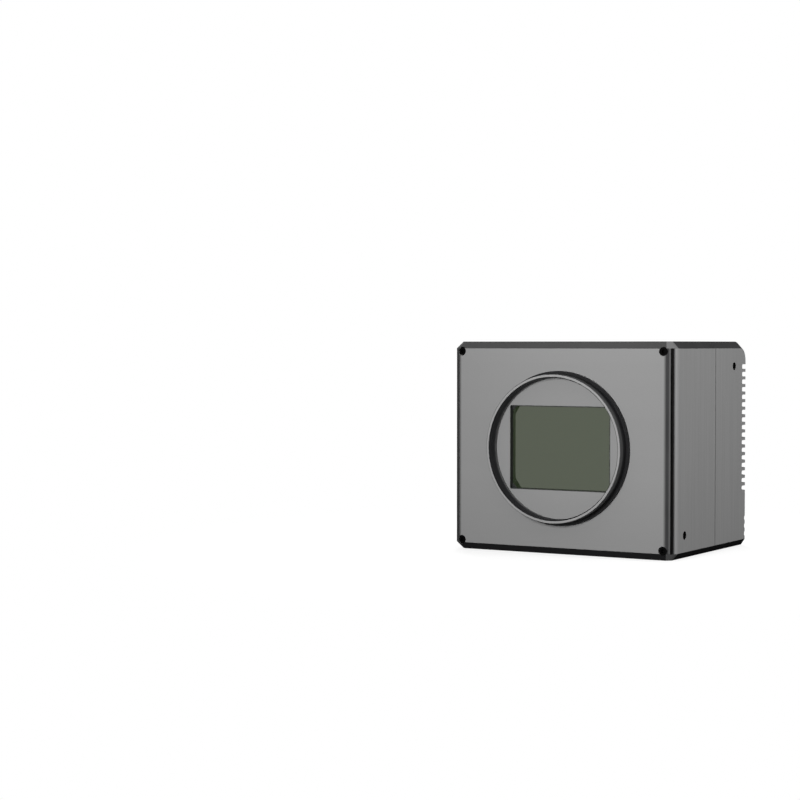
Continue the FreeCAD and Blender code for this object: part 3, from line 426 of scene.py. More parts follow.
def housing_zones():
    """Group that tells the finishes of the housing apart by place. Each output is 1 in its zone and 0 outside.

    A long chamfer is where the distance to the outline seen from above and the distance to the top or bottom add
    up to less than its width. Cut is those chamfers and the slants of the upright front ones, painted dark for the
    reflection in them, and Facet the small facets where both meet, painted lighter. Brow is the upper front
    chamfer, painted lighter as light, and Sole the lower chamfers, painted near black as shade. Dark is the corner
    slots and the side holes, painted near black as shade, and Seam the joint between the halves. Roll is 1 on the
    face at its upright edges and fades over a few millimetres: there the face is painted darker as shade. Land is
    the strip of the slant before the slot, painted lighter as a highlight, and Lip the rounded strip behind it,
    painted darker as shade.
    """
    tree, g, value, out = node_group("Housing zones", [
        ("Vector", VECTOR, None), ("Chamfer", FLOAT, 3.4), ("Corner", FLOAT, 4.3), ("Slot From", FLOAT, 1.72),
        ("Slot To", FLOAT, 2.88), ("Rear Round", FLOAT, 10.0), ("Hole Radius", FLOAT, 2.1), ("Roll", FLOAT, 1.6),
        ("Seam", FLOAT, 0.28)], ("Cut", "Facet", "Dark", "Roll", "Land", "Lip", "Brow", "Sole", "Seam"))
    x, y, z = g.split(value["Vector"])
    side = g.minus(WIDTH / 2 / MM, g.size(x))
    front = g.minus(y, FACE_Y / MM)
    back = g.minus(BACK_Y / MM, y)
    top = g.minus(HEIGHT / MM, z)
    upright = g.least(upper_distance(g, back, top, value["Rear Round"]), z)
    slant, outline = corner_distances(g, side, front, value["Corner"], value["Slot To"])

    rim = g.below(g.plus(outline, upright), g.plus(value["Chamfer"], CUT_LAP), BORDER)
    flat = g.below(slant, 0.0, BORDER)
    turned = g.more(g.minus(g.least(side, front), outline), TURNED_IN)
    facet_painted_light = g.times(rim, turned, g.no(flat))
    # The upper front chamfer gets painted light and the lower chamfers painted shade.
    above = g.more(z, AXIS_Z / MM)
    g.feed(out["Cut"], g.most(g.minus(rim, facet_painted_light), flat))
    g.feed(out["Facet"], facet_painted_light)
    g.feed(out["Brow"], g.times(g.less(front, side), above, rim))
    g.feed(out["Sole"], g.times(g.no(above), rim))
    g.feed(out["Seam"], g.below(g.size(g.minus(y, SEAM_Y / MM)), value["Seam"], BORDER))

    along = g.minus(front, side)
    low = g.math("MULTIPLY_ADD", value["Slot From"], 2.0, g.times(value["Corner"], -1.0))
    high = g.math("MULTIPLY_ADD", value["Slot To"], 2.0, g.times(value["Corner"], -1.0))
    # Corner slots, painted near black as shade.
    slot = g.times(g.more(along, g.minus(low, BORDER)), g.less(along, g.plus(high, BORDER)),
                   g.more(slant, SKIN), g.less(slant, SLOT_FLOOR),
                   g.more(upright, g.minus(value["Chamfer"], SKIN)))
    g.feed(out["Dark"], g.most(slot, side_holes(g, y, z, side, value["Hole Radius"])))

    # Where the face is painted darker as shade towards its upright edges.
    upright_edge = g.ease(side, value["Corner"], g.plus(value["Corner"], value["Roll"]), 1.0, 0.0)
    g.feed(out["Roll"], g.times(upright_edge, g.less(front, BORDER), g.more(side, FACE_SIDE)))
    # Strip before the slot, painted lighter as a highlight.
    before = g.minus(low, along)
    g.feed(out["Land"], g.times(g.below(g.size(g.minus(before, LAND_MIDDLE)), LAND_HALF, LAND_FADE), flat))
    # Strip behind the slot, painted darker as shade.
    past = g.minus(along, high)
    g.feed(out["Lip"], g.times(g.below(past, LIP_START, LIP_FADE), g.more(past, 0.0), g.less(outline, BORDER)))
    return tree


STROKE_SCALE = (0.0, 0.55, 0.012)      # strokes change quickly along the depth and hardly along the height
MOTTLE_SCALE = 0.06                    # broad patches, about 17 mm across


def blasted_grain():
    """Group for blasted metal: a fine even grain, a broad mottle and faint upright strokes under them."""
    tree, g, value, out = node_group("Blasted grain", [
        ("Vector", VECTOR, None), ("Grain", FLOAT, 0.35), ("Strokes", FLOAT, 0.4)], ("Tone", "Height", "Mottle"))
    place = g.in_mm(value["Vector"])
    fine = g.noise(place, g.over(1.0, value["Grain"]), 2.0, 0.6)
    drawn = g.add("ShaderNodeMapping", {"Vector": place, "Scale": STROKE_SCALE}).outputs[0]
    stroke = g.noise(drawn, 1.0, 4.0, 0.6)
    g.feed(out["Tone"], g.math("MULTIPLY_ADD", g.minus(stroke, 0.5), value["Strokes"], fine))
    g.feed(out["Height"], fine)
    g.feed(out["Mottle"], g.noise(place, MOTTLE_SCALE, 3.0))
    return tree


def turned_lines():
    """Group for turned metal: noise that depends only on the distance from an axis along Y, and on Y."""
    tree, g, value, out = node_group("Turned lines", [
        ("Vector", VECTOR, None), ("Axis X", FLOAT, 0.0), ("Axis Z", FLOAT, 0.0), ("Pitch", FLOAT, 0.2)],
        ("Height", "Radius", "Depth"))
    x, y, z = g.split(value["Vector"])
    radius = g.hypotenuse(g.minus(x, value["Axis X"]), g.minus(z, value["Axis Z"]))
    uneven = 1.37                      # keeps the lines of walls and faces apart
    place = g.over(g.plus(radius, g.times(y, uneven)), value["Pitch"])
    lines = g.add("ShaderNodeTexNoise", {"W": place, "Scale": 1.0, "Detail": 2.0}, noise_dimensions="1D")
    g.feed(out["Height"], lines.outputs["Fac"])
    g.feed(out["Radius"], radius)
    g.feed(out["Depth"], y)
    return tree


def board_print():
    """Group for circuit boards: upright and level copper lines on a grid, and round pads where they meet.

    A random number for each cell of the grid picks what the cell holds. Widths are shares of the cell.
    """
    line_half, pad_radius, softness = 0.05, 0.16, 0.03
    upright_share, level_skip, pad_skip = 0.5, 0.35, 0.62
    tree, g, value, out = node_group("Board print", [
        ("Vector", VECTOR, None), ("Pitch", FLOAT, 2.54)], ("Lines", "Pads"))
    x, _, z = g.split(value["Vector"])
    cell_x, cell_z = g.over(x, value["Pitch"]), g.over(z, value["Pitch"])
    off_x = g.size(g.minus(g.math("FRACT", cell_x), 0.5))
    off_z = g.size(g.minus(g.math("FRACT", cell_z), 0.5))
    place = g.add("ShaderNodeCombineXYZ", {0: g.math("FLOOR", cell_x), 2: g.math("FLOOR", cell_z)}).outputs[0]
    pick = g.add("ShaderNodeTexWhiteNoise", {"Vector": place}, noise_dimensions="3D").outputs["Value"]
    upright = g.times(g.below(off_x, line_half, softness), g.less(pick, upright_share))
    level = g.times(g.below(off_z, line_half, softness), g.more(pick, level_skip))
    pad = g.below(g.hypotenuse(off_x, off_z), pad_radius, softness)
    g.feed(out["Lines"], g.most(upright, level))
    g.feed(out["Pads"], g.times(pad, g.more(pick, pad_skip)))
    return tree


def soft_mottle():
    """Group for moulded, rubber, ceramic and plated surfaces: fine grain and a slow change of tone."""
    tree, g, value, out = node_group("Soft mottle", [
        ("Vector", VECTOR, None), ("Grain", FLOAT, 0.2)], ("Tone", "Height"))
    place = g.in_mm(value["Vector"])
    fine = g.noise(place, g.over(1.0, value["Grain"]), 2.0)
    slow = g.noise(place, 0.12, 2.0)
    fine_part, slow_part = 0.3, 0.7
    g.feed(out["Tone"], g.math("MULTIPLY_ADD", fine, fine_part, g.times(slow, slow_part)))
    g.feed(out["Height"], fine)
    return tree


GROUP_MAKERS = {"zones": housing_zones, "grain": blasted_grain, "turned": turned_lines, "board": board_print,
                "mottle": soft_mottle}
GROUPS = {}


def shared(kind):
    """Node group of this kind, built once."""
    if kind not in GROUPS:
        GROUPS[kind] = GROUP_MAKERS[kind]()
    return GROUPS[kind]


# ---------------------------------------------------------------- materials
class Finish:
    """Material with one Principled shader, object coordinates and the shared groups."""

    def __init__(self, name, roughness, metallic=0.0, **sockets):
        self.material = bpy.data.materials.new(name)
        self.material.use_nodes = True
        self.material.node_tree.nodes.clear()
        self.g = Tree(self.material.node_tree)
        self.shader = self.g.add("ShaderNodeBsdfPrincipled", {"Roughness": roughness, "Metallic": metallic})
        for key, value in sockets.items():
            self.g.feed(self.shader.inputs[key.replace("_", " ")], value)
        self.g.add("ShaderNodeOutputMaterial", {"Surface": self.shader.outputs[0]})
        self.place = self.g.add("ShaderNodeTexCoord").outputs["Object"]

    def effect(self, kind, **inputs):
        """Outputs of a shared group placed in this material."""
        node = self.g.add("ShaderNodeGroup", node_tree=shared(kind))
        self.g.feed(node.inputs["Vector"], self.place)
        for key, value in inputs.items():
            self.g.feed(node.inputs[key.replace("_", " ")], value)
        return node.outputs

    def paint(self, socket):
        """Feeds the base colour."""
        self.g.feed(self.shader.inputs["Base Color"], socket)

    def rough(self, socket):
        """Feeds the roughness."""
        self.g.feed(self.shader.inputs["Roughness"], socket)

    def bump(self, height, depth, strength):
        """Feeds the normal from a height, with its depth in millimetres."""
        node = self.g.add("ShaderNodeBump", {"Height": height, "Distance": depth * MM, "Strength": strength})
        self.g.feed(self.shader.inputs["Normal"], node.outputs[0])

    def shade(self, tone, base, spread):
        """Base colour that the tone makes up to spread darker or lighter."""
        return self.g.mix(tone, scaled(base, 1 - spread), scaled(base, 1 + spread))


def grey_anodised(s, hole_radius):
    """Grey anodising: blasted faces and cut edges, with light, shade and reflection painted on edges and in holes.
    """
    f = Finish("Grey anodised aluminium", s.face_roughness, Specular_IOR_Level=0.0)
    zones = f.effect("zones", Chamfer=s.chamfer / MM, Corner=s.corner / MM, Slot_From=s.slot_from / MM,
                     Slot_To=s.slot_to / MM, Rear_Round=s.rear_round / MM, Hole_Radius=hole_radius / MM,
                     Roll=s.roll / MM, Seam=s.seam / MM)
    grain = f.effect("grain", Grain=s.grain / MM, Strokes=s.strokes)
    # Painted shade: tone of the face at its upright edges and behind the slots.
    edge_shade = scaled(s.face, s.edge_shade_tone)
    # Painted shade: the face darkens towards its upright edges.
    face = f.g.mix(zones["Roll"], f.shade(grain["Tone"], s.face, spread=0.07), edge_shade)
    # Painted shade: darker strip behind each slot.
    face = f.g.mix(f.g.times(zones["Lip"], s.lip_painted_shade), face, edge_shade)
    # Painted light: lighter corner facets.
    face = f.g.mix(zones["Facet"], face, rgba(s.facet_painted_light))
    face = f.g.mix(f.g.times(zones["Seam"], s.seam_depth), face, rgba(s.cut))
    # Painted reflection: the chamfers are painted dark grey for the reflection in them.
    cut = f.shade(grain["Mottle"], s.cut, spread=0.2)
    # Painted light: the upper front chamfer is lighter.
    cut = f.g.mix(zones["Brow"], cut, f.shade(grain["Mottle"], s.brow_painted_light, spread=0.1))
    # Painted shade: the lower chamfers are near black.
    cut = f.g.mix(zones["Sole"], cut, f.shade(grain["Mottle"], s.sole_painted_shade, spread=0.2))
    # Painted highlight: lighter strip before each slot.
    cut = f.g.mix(f.g.times(zones["Land"], s.land), cut, rgba(s.face))
    # Painted shade: near black slots and side holes.
    f.paint(f.g.mix(zones["Dark"], f.g.mix(zones["Cut"], face, cut), rgba(s.slot)))
    smooth = f.g.most(zones["Cut"], zones["Facet"])
    f.rough(f.g.blend(smooth, s.face_roughness, s.cut_roughness))
    f.bump(f.g.times(grain["Height"], f.g.no(smooth)), depth=0.02, strength=0.4)
    return f.material


def ring_anodised(s):
    """Mount ring: grey machined rim face and dark satin turned walls, with a lighter band outside next to the rim
    and a lighter foot inside painted in as light.
    """
    rim_roughness, wall_roughness = 0.28, 0.45
    rim_lap, rim_blur, collar_blur = 0.02, 0.03, 0.2
    in_wall = 1.0                      # distance from the bore to inside the wall
    f = Finish("Turned mount ring", wall_roughness, Specular_IOR_Level=0.08)
    turned = f.effect("turned", Axis_Z=AXIS_Z / MM, Pitch=s.lathe / MM)
    rim = f.g.times(f.g.below(turned["Depth"], RIM_Y / MM + rim_lap, rim_blur),
                    f.g.below(turned["Radius"], s.rim_edge / MM, BORDER))
    outside = f.g.more(turned["Radius"], s.thread_radius / MM + in_wall)
    # Painted light: lighter band of the outside next to the rim.
    collar_painted_light = f.g.times(outside, f.g.below(turned["Depth"], (RIM_Y + s.collar_width) / MM, collar_blur))
    # Painted light: the inner wall lightens towards its foot at the face.
    foot = f.g.times(f.g.ease(turned["Depth"], (FACE_Y - s.foot_width) / MM, FACE_Y / MM, 0.0, 1.0),
                     f.g.no(outside))
    wall = f.g.mix(collar_painted_light, f.shade(turned["Height"], s.wall, spread=0.45),
                   f.shade(turned["Height"], s.collar_painted_light, spread=0.3))
    wall = f.g.mix(foot, wall, f.shade(turned["Height"], s.foot, spread=0.3))
    f.paint(f.g.mix(rim, wall, f.shade(turned["Height"], s.rim, spread=0.12)))
    f.rough(f.g.blend(rim, rim_roughness, wall_roughness))
    f.bump(turned["Height"], depth=0.03, strength=0.5)
    return f.material


def turned_metal(name, base, centre, pitch, roughness):
    """Plated metal with turned lines, a pitch in millimetres apart, about an axis along Y through (x, z)."""
    f = Finish(name, roughness, metallic=1.0)
    turned = f.effect("turned", Axis_X=centre[0] / MM, Axis_Z=centre[1] / MM, Pitch=pitch)
    f.paint(f.shade(turned["Height"], base, spread=0.15))
    f.bump(turned["Height"], depth=0.02, strength=0.4)
    return f.material


def soft_material(name, base, spread, grain, roughness, depth, metallic=0.0, **sockets):
    """Moulded, plated, fired or rubber surface, with the size of its grain and its depth in millimetres."""
    f = Finish(name, roughness, metallic, **sockets)
    mottle = f.effect("mottle", Grain=grain)
    f.paint(f.shade(mottle["Tone"], base, spread))
    f.bump(mottle["Height"], depth, strength=0.5)
    return f.material


def blasted_panel(s):
    """Blasted and anodised plate without cut edges."""
    f = Finish("Black anodised panel", roughness=0.42)
    texture = f.effect("grain", Grain=0.25, Strokes=0.2)
    f.paint(f.shade(texture["Tone"], s.panel, spread=0.3))
    f.bump(texture["Height"], depth=0.02, strength=0.5)
    return f.material


def filter_glass(s):
    """Coated grey-green glass: dark body, strong even reflection, the faintest waviness."""
    f = Finish("Grey-green filter glass", roughness=0.03, IOR=1.8, Transmission_Weight=0.2,
               Specular_Tint=rgba(s.sheen))
    mottle = f.effect("mottle", Grain=6.0)
    f.paint(f.shade(mottle["Tone"], s.glass, spread=0.06))
    f.bump(mottle["Height"], depth=0.002, strength=0.2)
    return f.material


def clear_glass(s):
    """Clear cover glass."""
    f = Finish("Clear glass", roughness=0.05, IOR=1.5, Transmission_Weight=0.95)
    f.paint(f.shade(f.effect("mottle", Grain=2.0)["Tone"], s.clear, spread=0.03))
    return f.material


def circuit_board(s):
    """Green lacquered board with copper lines under the lacquer and bright pads."""
    f = Finish("Circuit board", roughness=0.35)
    lines = f.effect("board", Pitch=2.54)
    mottle = f.effect("mottle", Grain=0.3)
    lacquer = f.g.mix(lines["Lines"], f.shade(mottle["Tone"], s.mask, spread=0.15), rgba(s.copper))
    f.paint(f.g.mix(lines["Pads"], lacquer, rgba(s.tinned)))
    f.bump(f.g.most(lines["Lines"], lines["Pads"]), depth=0.03, strength=0.6)
    return f.material


def dress(material, *names):
    """Gives a material to CAD nodes."""
    for name in names:
        slots = NODES[name].data.materials
        slots.clear()
        slots.append(material)


# ---------------------------------------------------------------- threads
AXES = {"X": 0, "Y": 1, "Z": 2}
RIDGE_CORNERS = (-0.46, -0.10, 0.10, 0.46)   # places of a section's corners along the axis, in pitches
RIDGE_CREST = (0.0, 1.0, 1.0, 0.0)           # and their heights, in ridge heights
RIDGE_SINK = 0.03 * MM                       # how far a ridge's foot lies under the wall
RIDGE_KEPT = 1e-6                            # height that keeps the ends of a ridge open, in metres
RIDGE_SHARP = math.radians(40)               # edges steeper than this stay sharp
HOLE_LEAD = 0.9 * MM                         # bare bore before the thread of a hole
HOLE_CREST = 0.36                            # height of a hole's thread, in pitches
RING_LEAD = 0.5 * MM                         # bare bore at both ends of the lens thread
JACK_START = 6.8 * MM                        # start of a jack's thread, from the end of its barrel
JACK_LENGTH = 6.2 * MM
JACK_CREST = 0.26 * MM


def ridge_points(centre, axis, radius, height, pitch, reach, inward, segments):
    """Corners of a thread ridge wound round a cylinder, as an array of steps by corners by coordinates.

    At angle t the middle of the ridge lies at pitch * t / 2 pi along the axis. Its section is a trapezium with
    its foot just under the wall and its crest at the height from the wall, towards the axis when inward and away
    from it otherwise. The crest sinks into the wall over half a turn at both ends.
    """
    turns = reach / pitch - 1
    count = int(turns * segments) + 1
    t = np.linspace(0.0, 2 * np.pi * turns, count)
    fade = np.clip(np.minimum(t, t[-1] - t) / np.pi, 0.0, 1.0)
    fade = fade * fade * (3 - 2 * fade)
    crest = np.array(RIDGE_CREST)[None, :]
    lift = -RIDGE_SINK + crest * (height + RIDGE_SINK) * fade[:, None] + crest * RIDGE_KEPT
    r = radius - lift if inward else radius + lift
    w = pitch / 2 + pitch * t[:, None] / (2 * np.pi) + np.array(RIDGE_CORNERS)[None, :] * pitch
    along = AXES[axis[-1]]
    sign = -1.0 if axis.startswith("-") else 1.0
    points = np.empty((count, len(RIDGE_CORNERS), 3))
    points[..., along] = centre[along] + sign * w
    points[..., (along + 1) % 3] = centre[(along + 1) % 3] + r * np.cos(t)[:, None]
    points[..., (along + 2) % 3] = centre[(along + 2) % 3] + r * np.sin(t)[:, None] * sign
    return points


def ridge_faces(count, inward):
    """Faces of a ridge: a strip of quads round its section between each two steps, and its two ends."""
    start = np.arange(count - 1)[:, None] * 4
    corner = np.arange(4)[None, :]
    after = (corner + 1) % 4
    quads = np.stack([start + corner, start + after, start + 4 + after, start + 4 + corner], axis=-1)
    last = (count - 1) * 4
    ends = np.array([[3, 2, 1, 0], [last, last + 1, last + 2, last + 3]])
    faces = np.concatenate([quads.reshape(-1, 4), ends])
    return faces if inward else faces[:, ::-1]


def helix_ridge(name, centre, axis, radius, height, pitch, reach, material, inward=True, segments=48):
    """Thread ridge as a piece of the body, dressed and tied to it."""
    points = ridge_points(centre, axis, radius, height, pitch, reach, inward, segments)
    mesh = bpy.data.meshes.new(name)
    mesh.from_pydata(points.reshape(-1, 3), [], ridge_faces(len(points), inward).tolist())
    mesh.update()
    mesh.shade_smooth()
    mesh.set_sharp_from_angle(angle=RIDGE_SHARP)
    mesh.materials.append(material)
    piece = bpy.data.objects.new(name, mesh)
    bpy.context.scene.collection.objects.link(piece)
    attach(piece, "root")


def threaded_holes(s):
    """Name, start, direction, radius and pitch of every thread in the side walls and the base."""
    holes = []
    for mount in MOUNTS:
        x, y, z = mount["pos_m"]
        if mount["name"].endswith("_hole"):
            outside = math.copysign(WIDTH / 2 - HOLE_LEAD, x)
            holes.append((mount["name"], (outside, y, z), "-X" if x > 0 else "X", s.side_radius, s.side_pitch))
        if mount["kind"] == "bolt_pattern":
            half_x = mount["dims"]["spacing_x_mm"] * MM / 2
            half_y = mount["dims"]["spacing_y_mm"] * MM / 2
            corners = [(-half_x, -half_y), (half_x, -half_y), (-half_x, half_y), (half_x, half_y)]
            holes += [(f"base_hole_{i + 1}", (x + dx, y + dy, HOLE_LEAD), "Z", s.base_radius, s.base_pitch)
                      for i, (dx, dy) in enumerate(corners)]
    return holes


# ---------------------------------------------------------------- operators
class CAMERA_OT_housing(bpy.types.Operator):
    """Dress both halves of the housing in grey anodising"""
    bl_idname = "vision_camera.housing"
    bl_label = "Housing"

    def execute(self, context):
        scene = context.scene
        dress(grey_anodised(scene.vc_housing, scene.vc_hardware.side_radius), *GREY_NODES)
        return {"FINISHED"}


class CAMERA_OT_mount_ring(bpy.types.Operator):
    """Dress the lens mount ring and cut its thread"""
    bl_idname = "vision_camera.mount_ring"
    bl_label = "Mount ring"

    def execute(self, context):
        s = context.scene.vc_ring
        material = ring_anodised(s)
        dress(material, "lens_mount_ring")
        helix_ridge("lens_thread", (0.0, RIM_Y + RING_LEAD, AXIS_Z), "Y", s.thread_radius, s.thread_height,
                    s.thread_pitch, RING_HIGH[1] - RIM_Y - 2 * RING_LEAD, material,
                    segments=144)
        return {"FINISHED"}


class CAMERA_OT_optics(bpy.types.Operator):
    """Dress the filter glass, the baffle, the sensor and its package"""
    bl_idname = "vision_camera.optics"
    bl_label = "Window and sensor"

    def execute(self, context):
        s = context.scene.vc_optics
        dress(filter_glass(s), "filter_glass")
        dress(clear_glass(s), "sensor_cover_glass")
        dress(soft_material("Frosted light pipe", s.frosted, spread=0.06, grain=0.5, roughness=0.35, depth=0.01,
                            Transmission_Weight=0.3), "status_light_pipe")
        dress(soft_material("Blackened baffle", s.baffle, spread=0.3, grain=0.15, roughness=0.7, depth=0.02),
              "light_baffle")
        dress(soft_material("Spring steel", s.steel, spread=0.15, grain=0.4, roughness=0.35, depth=0.01,
                            metallic=0.9), "filter_retainer")
        dress(soft_material("Fired ceramic", s.ceramic, spread=0.10, grain=0.25, roughness=0.6, depth=0.02),
              "sensor_package")
        dress(soft_material("Polished silicon", s.silicon, spread=0.12, grain=1.0, roughness=0.12, depth=0.001,
                            metallic=0.4), "sensor_die")
        return {"FINISHED"}


class CAMERA_OT_inside(bpy.types.Operator):
    """Dress boards, chips, pads, seals and flexible circuits"""
    bl_idname = "vision_camera.inside"
    bl_label = "Inside"

    def execute(self, context):
        s = context.scene.vc_inner
        dress(circuit_board(s), "sensor_board", "processor_board", "interface_board")
        dress(soft_material("Chip moulding", s.moulding, spread=0.2, grain=0.12, roughness=0.55, depth=0.01),
              "processor_chip", "memory_chips")
        dress(soft_material("Thermal pad", s.pad, spread=0.12, grain=0.4, roughness=0.8, depth=0.05),
              "sensor_thermal_pad", "processor_thermal_pad")
        dress(soft_material("Milled aluminium", s.milled, spread=0.10, grain=0.5, roughness=0.35, depth=0.02,
                            metallic=1.0), "cold_plate")
        dress(soft_material("Board sockets", s.socket, spread=0.08, grain=0.2, roughness=0.5, depth=0.01),
              "sensor_board_socket", "processor_upper_socket", "processor_lower_socket", "interface_socket")
        dress(soft_material("Amber film", s.film, spread=0.15, grain=1.5, roughness=0.25, depth=0.01),
              "sensor_flex", "interface_flex")
        dress(soft_material("Black rubber", s.rubber, spread=0.25, grain=0.2, roughness=0.85, depth=0.03),
              "housing_gasket", "filter_gasket", "panel_gasket")
        dress(soft_material("Pressed ferrite", s.ferrite, spread=0.25, grain=0.15, roughness=0.7, depth=0.03),
              "power_inductors")
        dress(soft_material("Lamp chip", s.lamp, spread=0.10, grain=0.3, roughness=0.3, depth=0.01), "status_led")
        return {"FINISHED"}


class CAMERA_OT_hardware(bpy.types.Operator):
    """Dress the screws, the connector panel and the connectors"""
    bl_idname = "vision_camera.hardware"
    bl_label = "Hardware"

    def execute(self, context):
        s = context.scene.vc_hardware
        dress(soft_material("Black oxide", s.black, spread=0.3, grain=0.1, roughness=0.6, depth=0.01,
                            Specular_IOR_Level=0.02), "corner_tie_screws", "panel_screws")
        dress(soft_material("Zinc plate", s.zinc, spread=0.12, grain=0.3, roughness=0.3, depth=0.01, metallic=1.0),
              "ring_screws", "retainer_screws", "sensor_board_screws", "cold_plate_screws",
              "processor_board_screws", "interface_board_screws")
        dress(blasted_panel(s), "connector_panel")
        for i in COAX:
            self.dress_jack(s, f"coax_jack_{i}")
        dress(turned_metal("Nickel power socket", s.nickel, self.centre("power_socket_shell"), pitch=0.2,
                           roughness=0.25), "power_socket_shell")
        dress(soft_material("Plated nuts", s.nickel, spread=0.1, grain=0.3, roughness=0.3, depth=0.01,
                            metallic=1.0), "coax_nuts", "power_socket_nut")
        dress(soft_material("White insulator", s.white, spread=0.05, grain=0.3, roughness=0.45, depth=0.01),
              *(f"coax_insulator_{i}" for i in COAX))
        dress(soft_material("Black insert", s.insert, spread=0.2, grain=0.15, roughness=0.5, depth=0.01),
              "power_socket_insert")
        dress(soft_material("Gold plate", s.gold, spread=0.08, grain=0.3, roughness=0.22, depth=0.005,
                            metallic=1.0), *(f"coax_contact_{i}" for i in COAX), "power_socket_pins")
        return {"FINISHED"}

    def centre(self, name):
        """Middle of a node seen from behind, as (x, z)."""
        low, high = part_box(name)
        return (low[0] + high[0]) / 2, (low[2] + high[2]) / 2

    def dress_jack(self, s, name):
        """Turned nickel on a jack's barrel, with the thread that its plug screws on to."""
        x, z = self.centre(name)
        material = turned_metal("Nickel " + name, s.nickel, (x, z), pitch=0.15, roughness=0.22)
        dress(material, name)
        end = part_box(name)[1][1]
        helix_ridge(name + "_thread", (x, end - JACK_START, z), "Y", s.jack_radius, JACK_CREST, s.jack_pitch,
                    JACK_LENGTH, material, inward=False)


class CAMERA_OT_threads(bpy.types.Operator):
    """Cut the threads of the side holes and the base holes"""
    bl_idname = "vision_camera.threads"
    bl_label = "Threaded holes"

    def execute(self, context):
        s = context.scene.vc_hardware
        # Painted shade: the thread turns in the holes are near black.
        material = soft_material("Cut thread", s.thread, spread=0.2, grain=0.2, roughness=0.5, depth=0.005,
                                 Specular_IOR_Level=0.2)
        for name, place, axis, radius, pitch in threaded_holes(s):
            helix_ridge(name + "_thread", place, axis, radius, HOLE_CREST * pitch, pitch, s.depth, material)
        return {"FINISHED"}


class CAMERA_OT_studio(bpy.types.Operator):
    """Set up the camera, the lamps, the pale floor and the room"""
    bl_idname = "vision_camera.studio"
    bl_label = "Studio"

    def execute(self, context):
        s = context.scene.vc_studio
        set_camera(s)
        set_lamps(s)
        set_floor(s)
        set_room(s)
        context.scene.view_settings.view_transform = "Standard"
        return {"FINISHED"}


# ---------------------------------------------------------------- studio
FLOOR_HALF = 3.0
FLOOR_Z = -0.1 * MM

# Name of the lamp and its power, place, the point that it looks at, size, and spread in degrees. The front lamp
# lights the face, the side lamp only the right side, and the back lamp the top, the left side and the back.
LAMPS = (
    ("front", (0.045, -0.42, 0.11), (0.03, 0.0, 0.15), 0.10, 136),
    ("side", (0.45, 0.01, 0.28), (0.06, -0.04, 0.11), 0.10, 110),
    ("back", (-0.35, 0.45, 0.35), (0.0, 0.0, 0.05), 0.30, 180),
)

# Light of the room: its level, and how much it grows towards the back, the right and the top.
ROOM_LEVEL = 0.85
ROOM_GAIN = {"Y": 0.55, "X": 0.25, "Z": 0.25}


def set_camera(s):
    """Camera in front of the object, turned to its right."""
    lens = bpy.data.cameras.new("view")
    lens.lens = s.lens
    lens.sensor_width = 36.0
    lens.clip_start = 0.01
    holder = bpy.data.objects.new("view", lens)
    holder.location = s.place
    holder.rotation_euler = (math.radians(90) - s.tilt, 0.0, s.turn)
    bpy.context.scene.collection.objects.link(holder)
    bpy.context.scene.camera = holder


def set_lamps(s):
    """Square soft lamps, each turned to its point. The light fades out towards the sides of the spread."""
    for name, place, aim, size, spread in LAMPS:
        data = bpy.data.lights.new(name, "AREA")
        data.shape = "SQUARE"
        data.size = size
        data.spread = math.radians(spread)
        data.energy = getattr(s, name)
        way = np.array(place) - np.array(aim)
        lean = math.atan2(math.hypot(way[0], way[1]), way[2])
        holder = bpy.data.objects.new(name, data)
        holder.location = place
        holder.rotation_euler = (lean, 0.0, math.atan2(way[0], -way[1]))
        bpy.context.scene.collection.objects.link(holder)


def camera_rays(g):
    """1 for rays that show what is behind: camera, mirror and glass rays."""
    path = g.add("ShaderNodeLightPath").outputs
    return g.most(g.most(path["Is Camera Ray"], path["Is Glossy Ray"]), path["Is Transmission Ray"])


def set_floor(s):
    """Pale floor: matt where it lights the object, white where it is seen, with the object's shadow close by."""
    corners = np.array([[-1, -1, 0], [1, -1, 0], [1, 1, 0], [-1, 1, 0]]) * FLOOR_HALF
    mesh = bpy.data.meshes.new("floor")
    mesh.from_pydata(corners + (0.0, 0.0, FLOOR_Z), [], [(0, 1, 2, 3)])
    floor = bpy.data.objects.new("floor", mesh)
    bpy.context.scene.collection.objects.link(floor)
    material = bpy.data.materials.new("Pale floor")
    material.use_nodes = True
    material.node_tree.nodes.clear()
    g = Tree(material.node_tree)
    place = g.add("ShaderNodeTexCoord").outputs["Object"]
    reach = g.add("ShaderNodeVectorMath", {0: place}, operation="LENGTH").outputs["Value"]
    near = g.ease(reach, s.shade_from, s.shade_to, 1.0, 0.0)
    matt = g.add("ShaderNodeBsdfDiffuse", {"Color": rgba([s.ground] * 3)}).outputs[0]
    tone = g.mix(near, rgba([0.0] * 3), rgba([s.shade] * 3))
    pale = g.add("ShaderNodeBsdfDiffuse", {"Color": tone}).outputs[0]
    strength = g.blend(near, 1.0, s.glow)
    glow = g.add("ShaderNodeEmission", {"Color": rgba([1.0] * 3), "Strength": strength}).outputs[0]
    seen = g.add("ShaderNodeAddShader", {0: pale, 1: glow}).outputs[0]
    mixed = g.add("ShaderNodeMixShader", {0: camera_rays(g), 1: matt, 2: seen}).outputs[0]
    g.add("ShaderNodeOutputMaterial", {"Surface": mixed})
    mesh.materials.append(material)


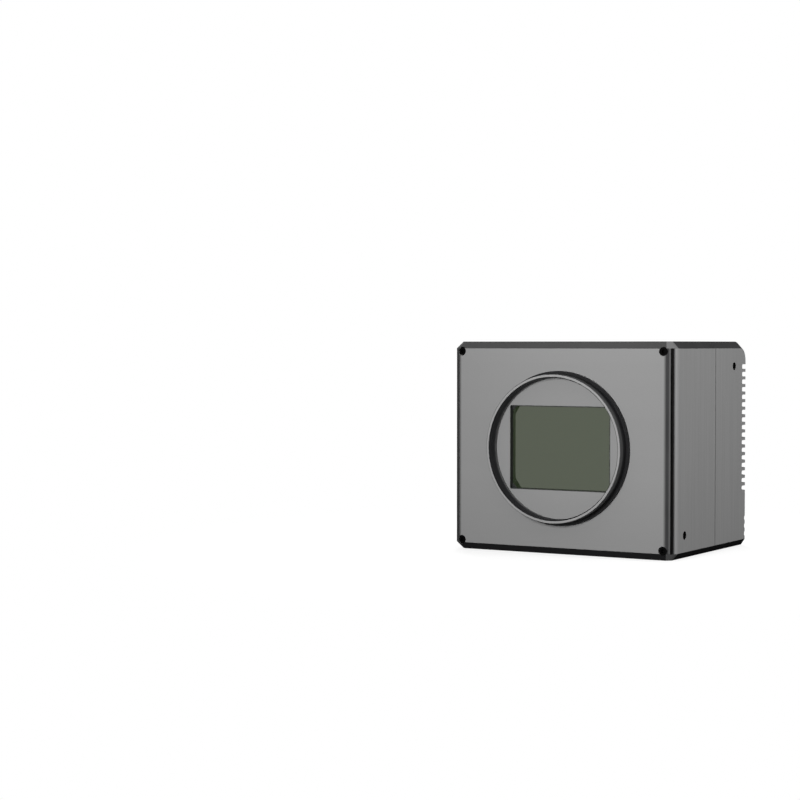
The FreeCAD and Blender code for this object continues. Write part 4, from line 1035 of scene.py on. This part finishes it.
def set_room(s):
    """White room: full white where it is seen, softer and darker towards the floor where it lights the object."""
    world = bpy.data.worlds.new("room")
    bpy.context.scene.world = world
    world.use_nodes = True
    world.node_tree.nodes.clear()
    g = Tree(world.node_tree)
    way = g.add("ShaderNodeSeparateXYZ", {0: g.add("ShaderNodeTexCoord").outputs["Generated"]}).outputs
    level = ROOM_LEVEL
    for axis, gain in ROOM_GAIN.items():
        level = g.math("MULTIPLY_ADD", way[axis], gain, level)
    strength = g.blend(camera_rays(g), g.times(level, s.fill), 1.0)
    light = g.add("ShaderNodeBackground", {"Color": rgba([1.0] * 3), "Strength": strength}).outputs[0]
    g.add("ShaderNodeOutputWorld", {"Surface": light})


# ---------------------------------------------------------------- panel and registration
OPERATORS = (CAMERA_OT_housing, CAMERA_OT_mount_ring, CAMERA_OT_optics, CAMERA_OT_inside, CAMERA_OT_hardware,
             CAMERA_OT_threads, CAMERA_OT_studio)
SETTINGS = {"vc_housing": HousingSettings, "vc_ring": RingSettings, "vc_optics": OpticsSettings,
            "vc_inner": InnerSettings, "vc_hardware": HardwareSettings, "vc_studio": StudioSettings}


class CAMERA_PT_panel(bpy.types.Panel):
    """Steps that finish the camera, in order"""
    bl_idname = "CAMERA_PT_panel"
    bl_label = "Vision camera"
    bl_space_type = "VIEW_3D"
    bl_region_type = "UI"
    bl_category = "Camera"

    def draw(self, context):
        for operator in OPERATORS:
            self.layout.operator(operator.bl_idname)
        for key, group in SETTINGS.items():
            part = self.layout.box()
            part.label(text=group.__doc__)
            for name in group.__annotations__:
                part.prop(getattr(context.scene, key), name)


def register():
    """Registers the settings, the operators and the panel."""
    for group in (*SETTINGS.values(), *OPERATORS, CAMERA_PT_panel):
        bpy.utils.register_class(group)
    for key, group in SETTINGS.items():
        setattr(bpy.types.Scene, key, bpy.props.PointerProperty(type=group))


def unregister():
    """Takes back what register does."""
    for key in SETTINGS:
        delattr(bpy.types.Scene, key)
    for group in (CAMERA_PT_panel, *reversed(OPERATORS), *SETTINGS.values()):
        bpy.utils.unregister_class(group)


def main():
    """Registers and runs every step."""
    register()
    for operator in OPERATORS:
        section, name = operator.bl_idname.split(".")
        getattr(getattr(bpy.ops, section), name)()


if __name__ == "__main__":
    main()
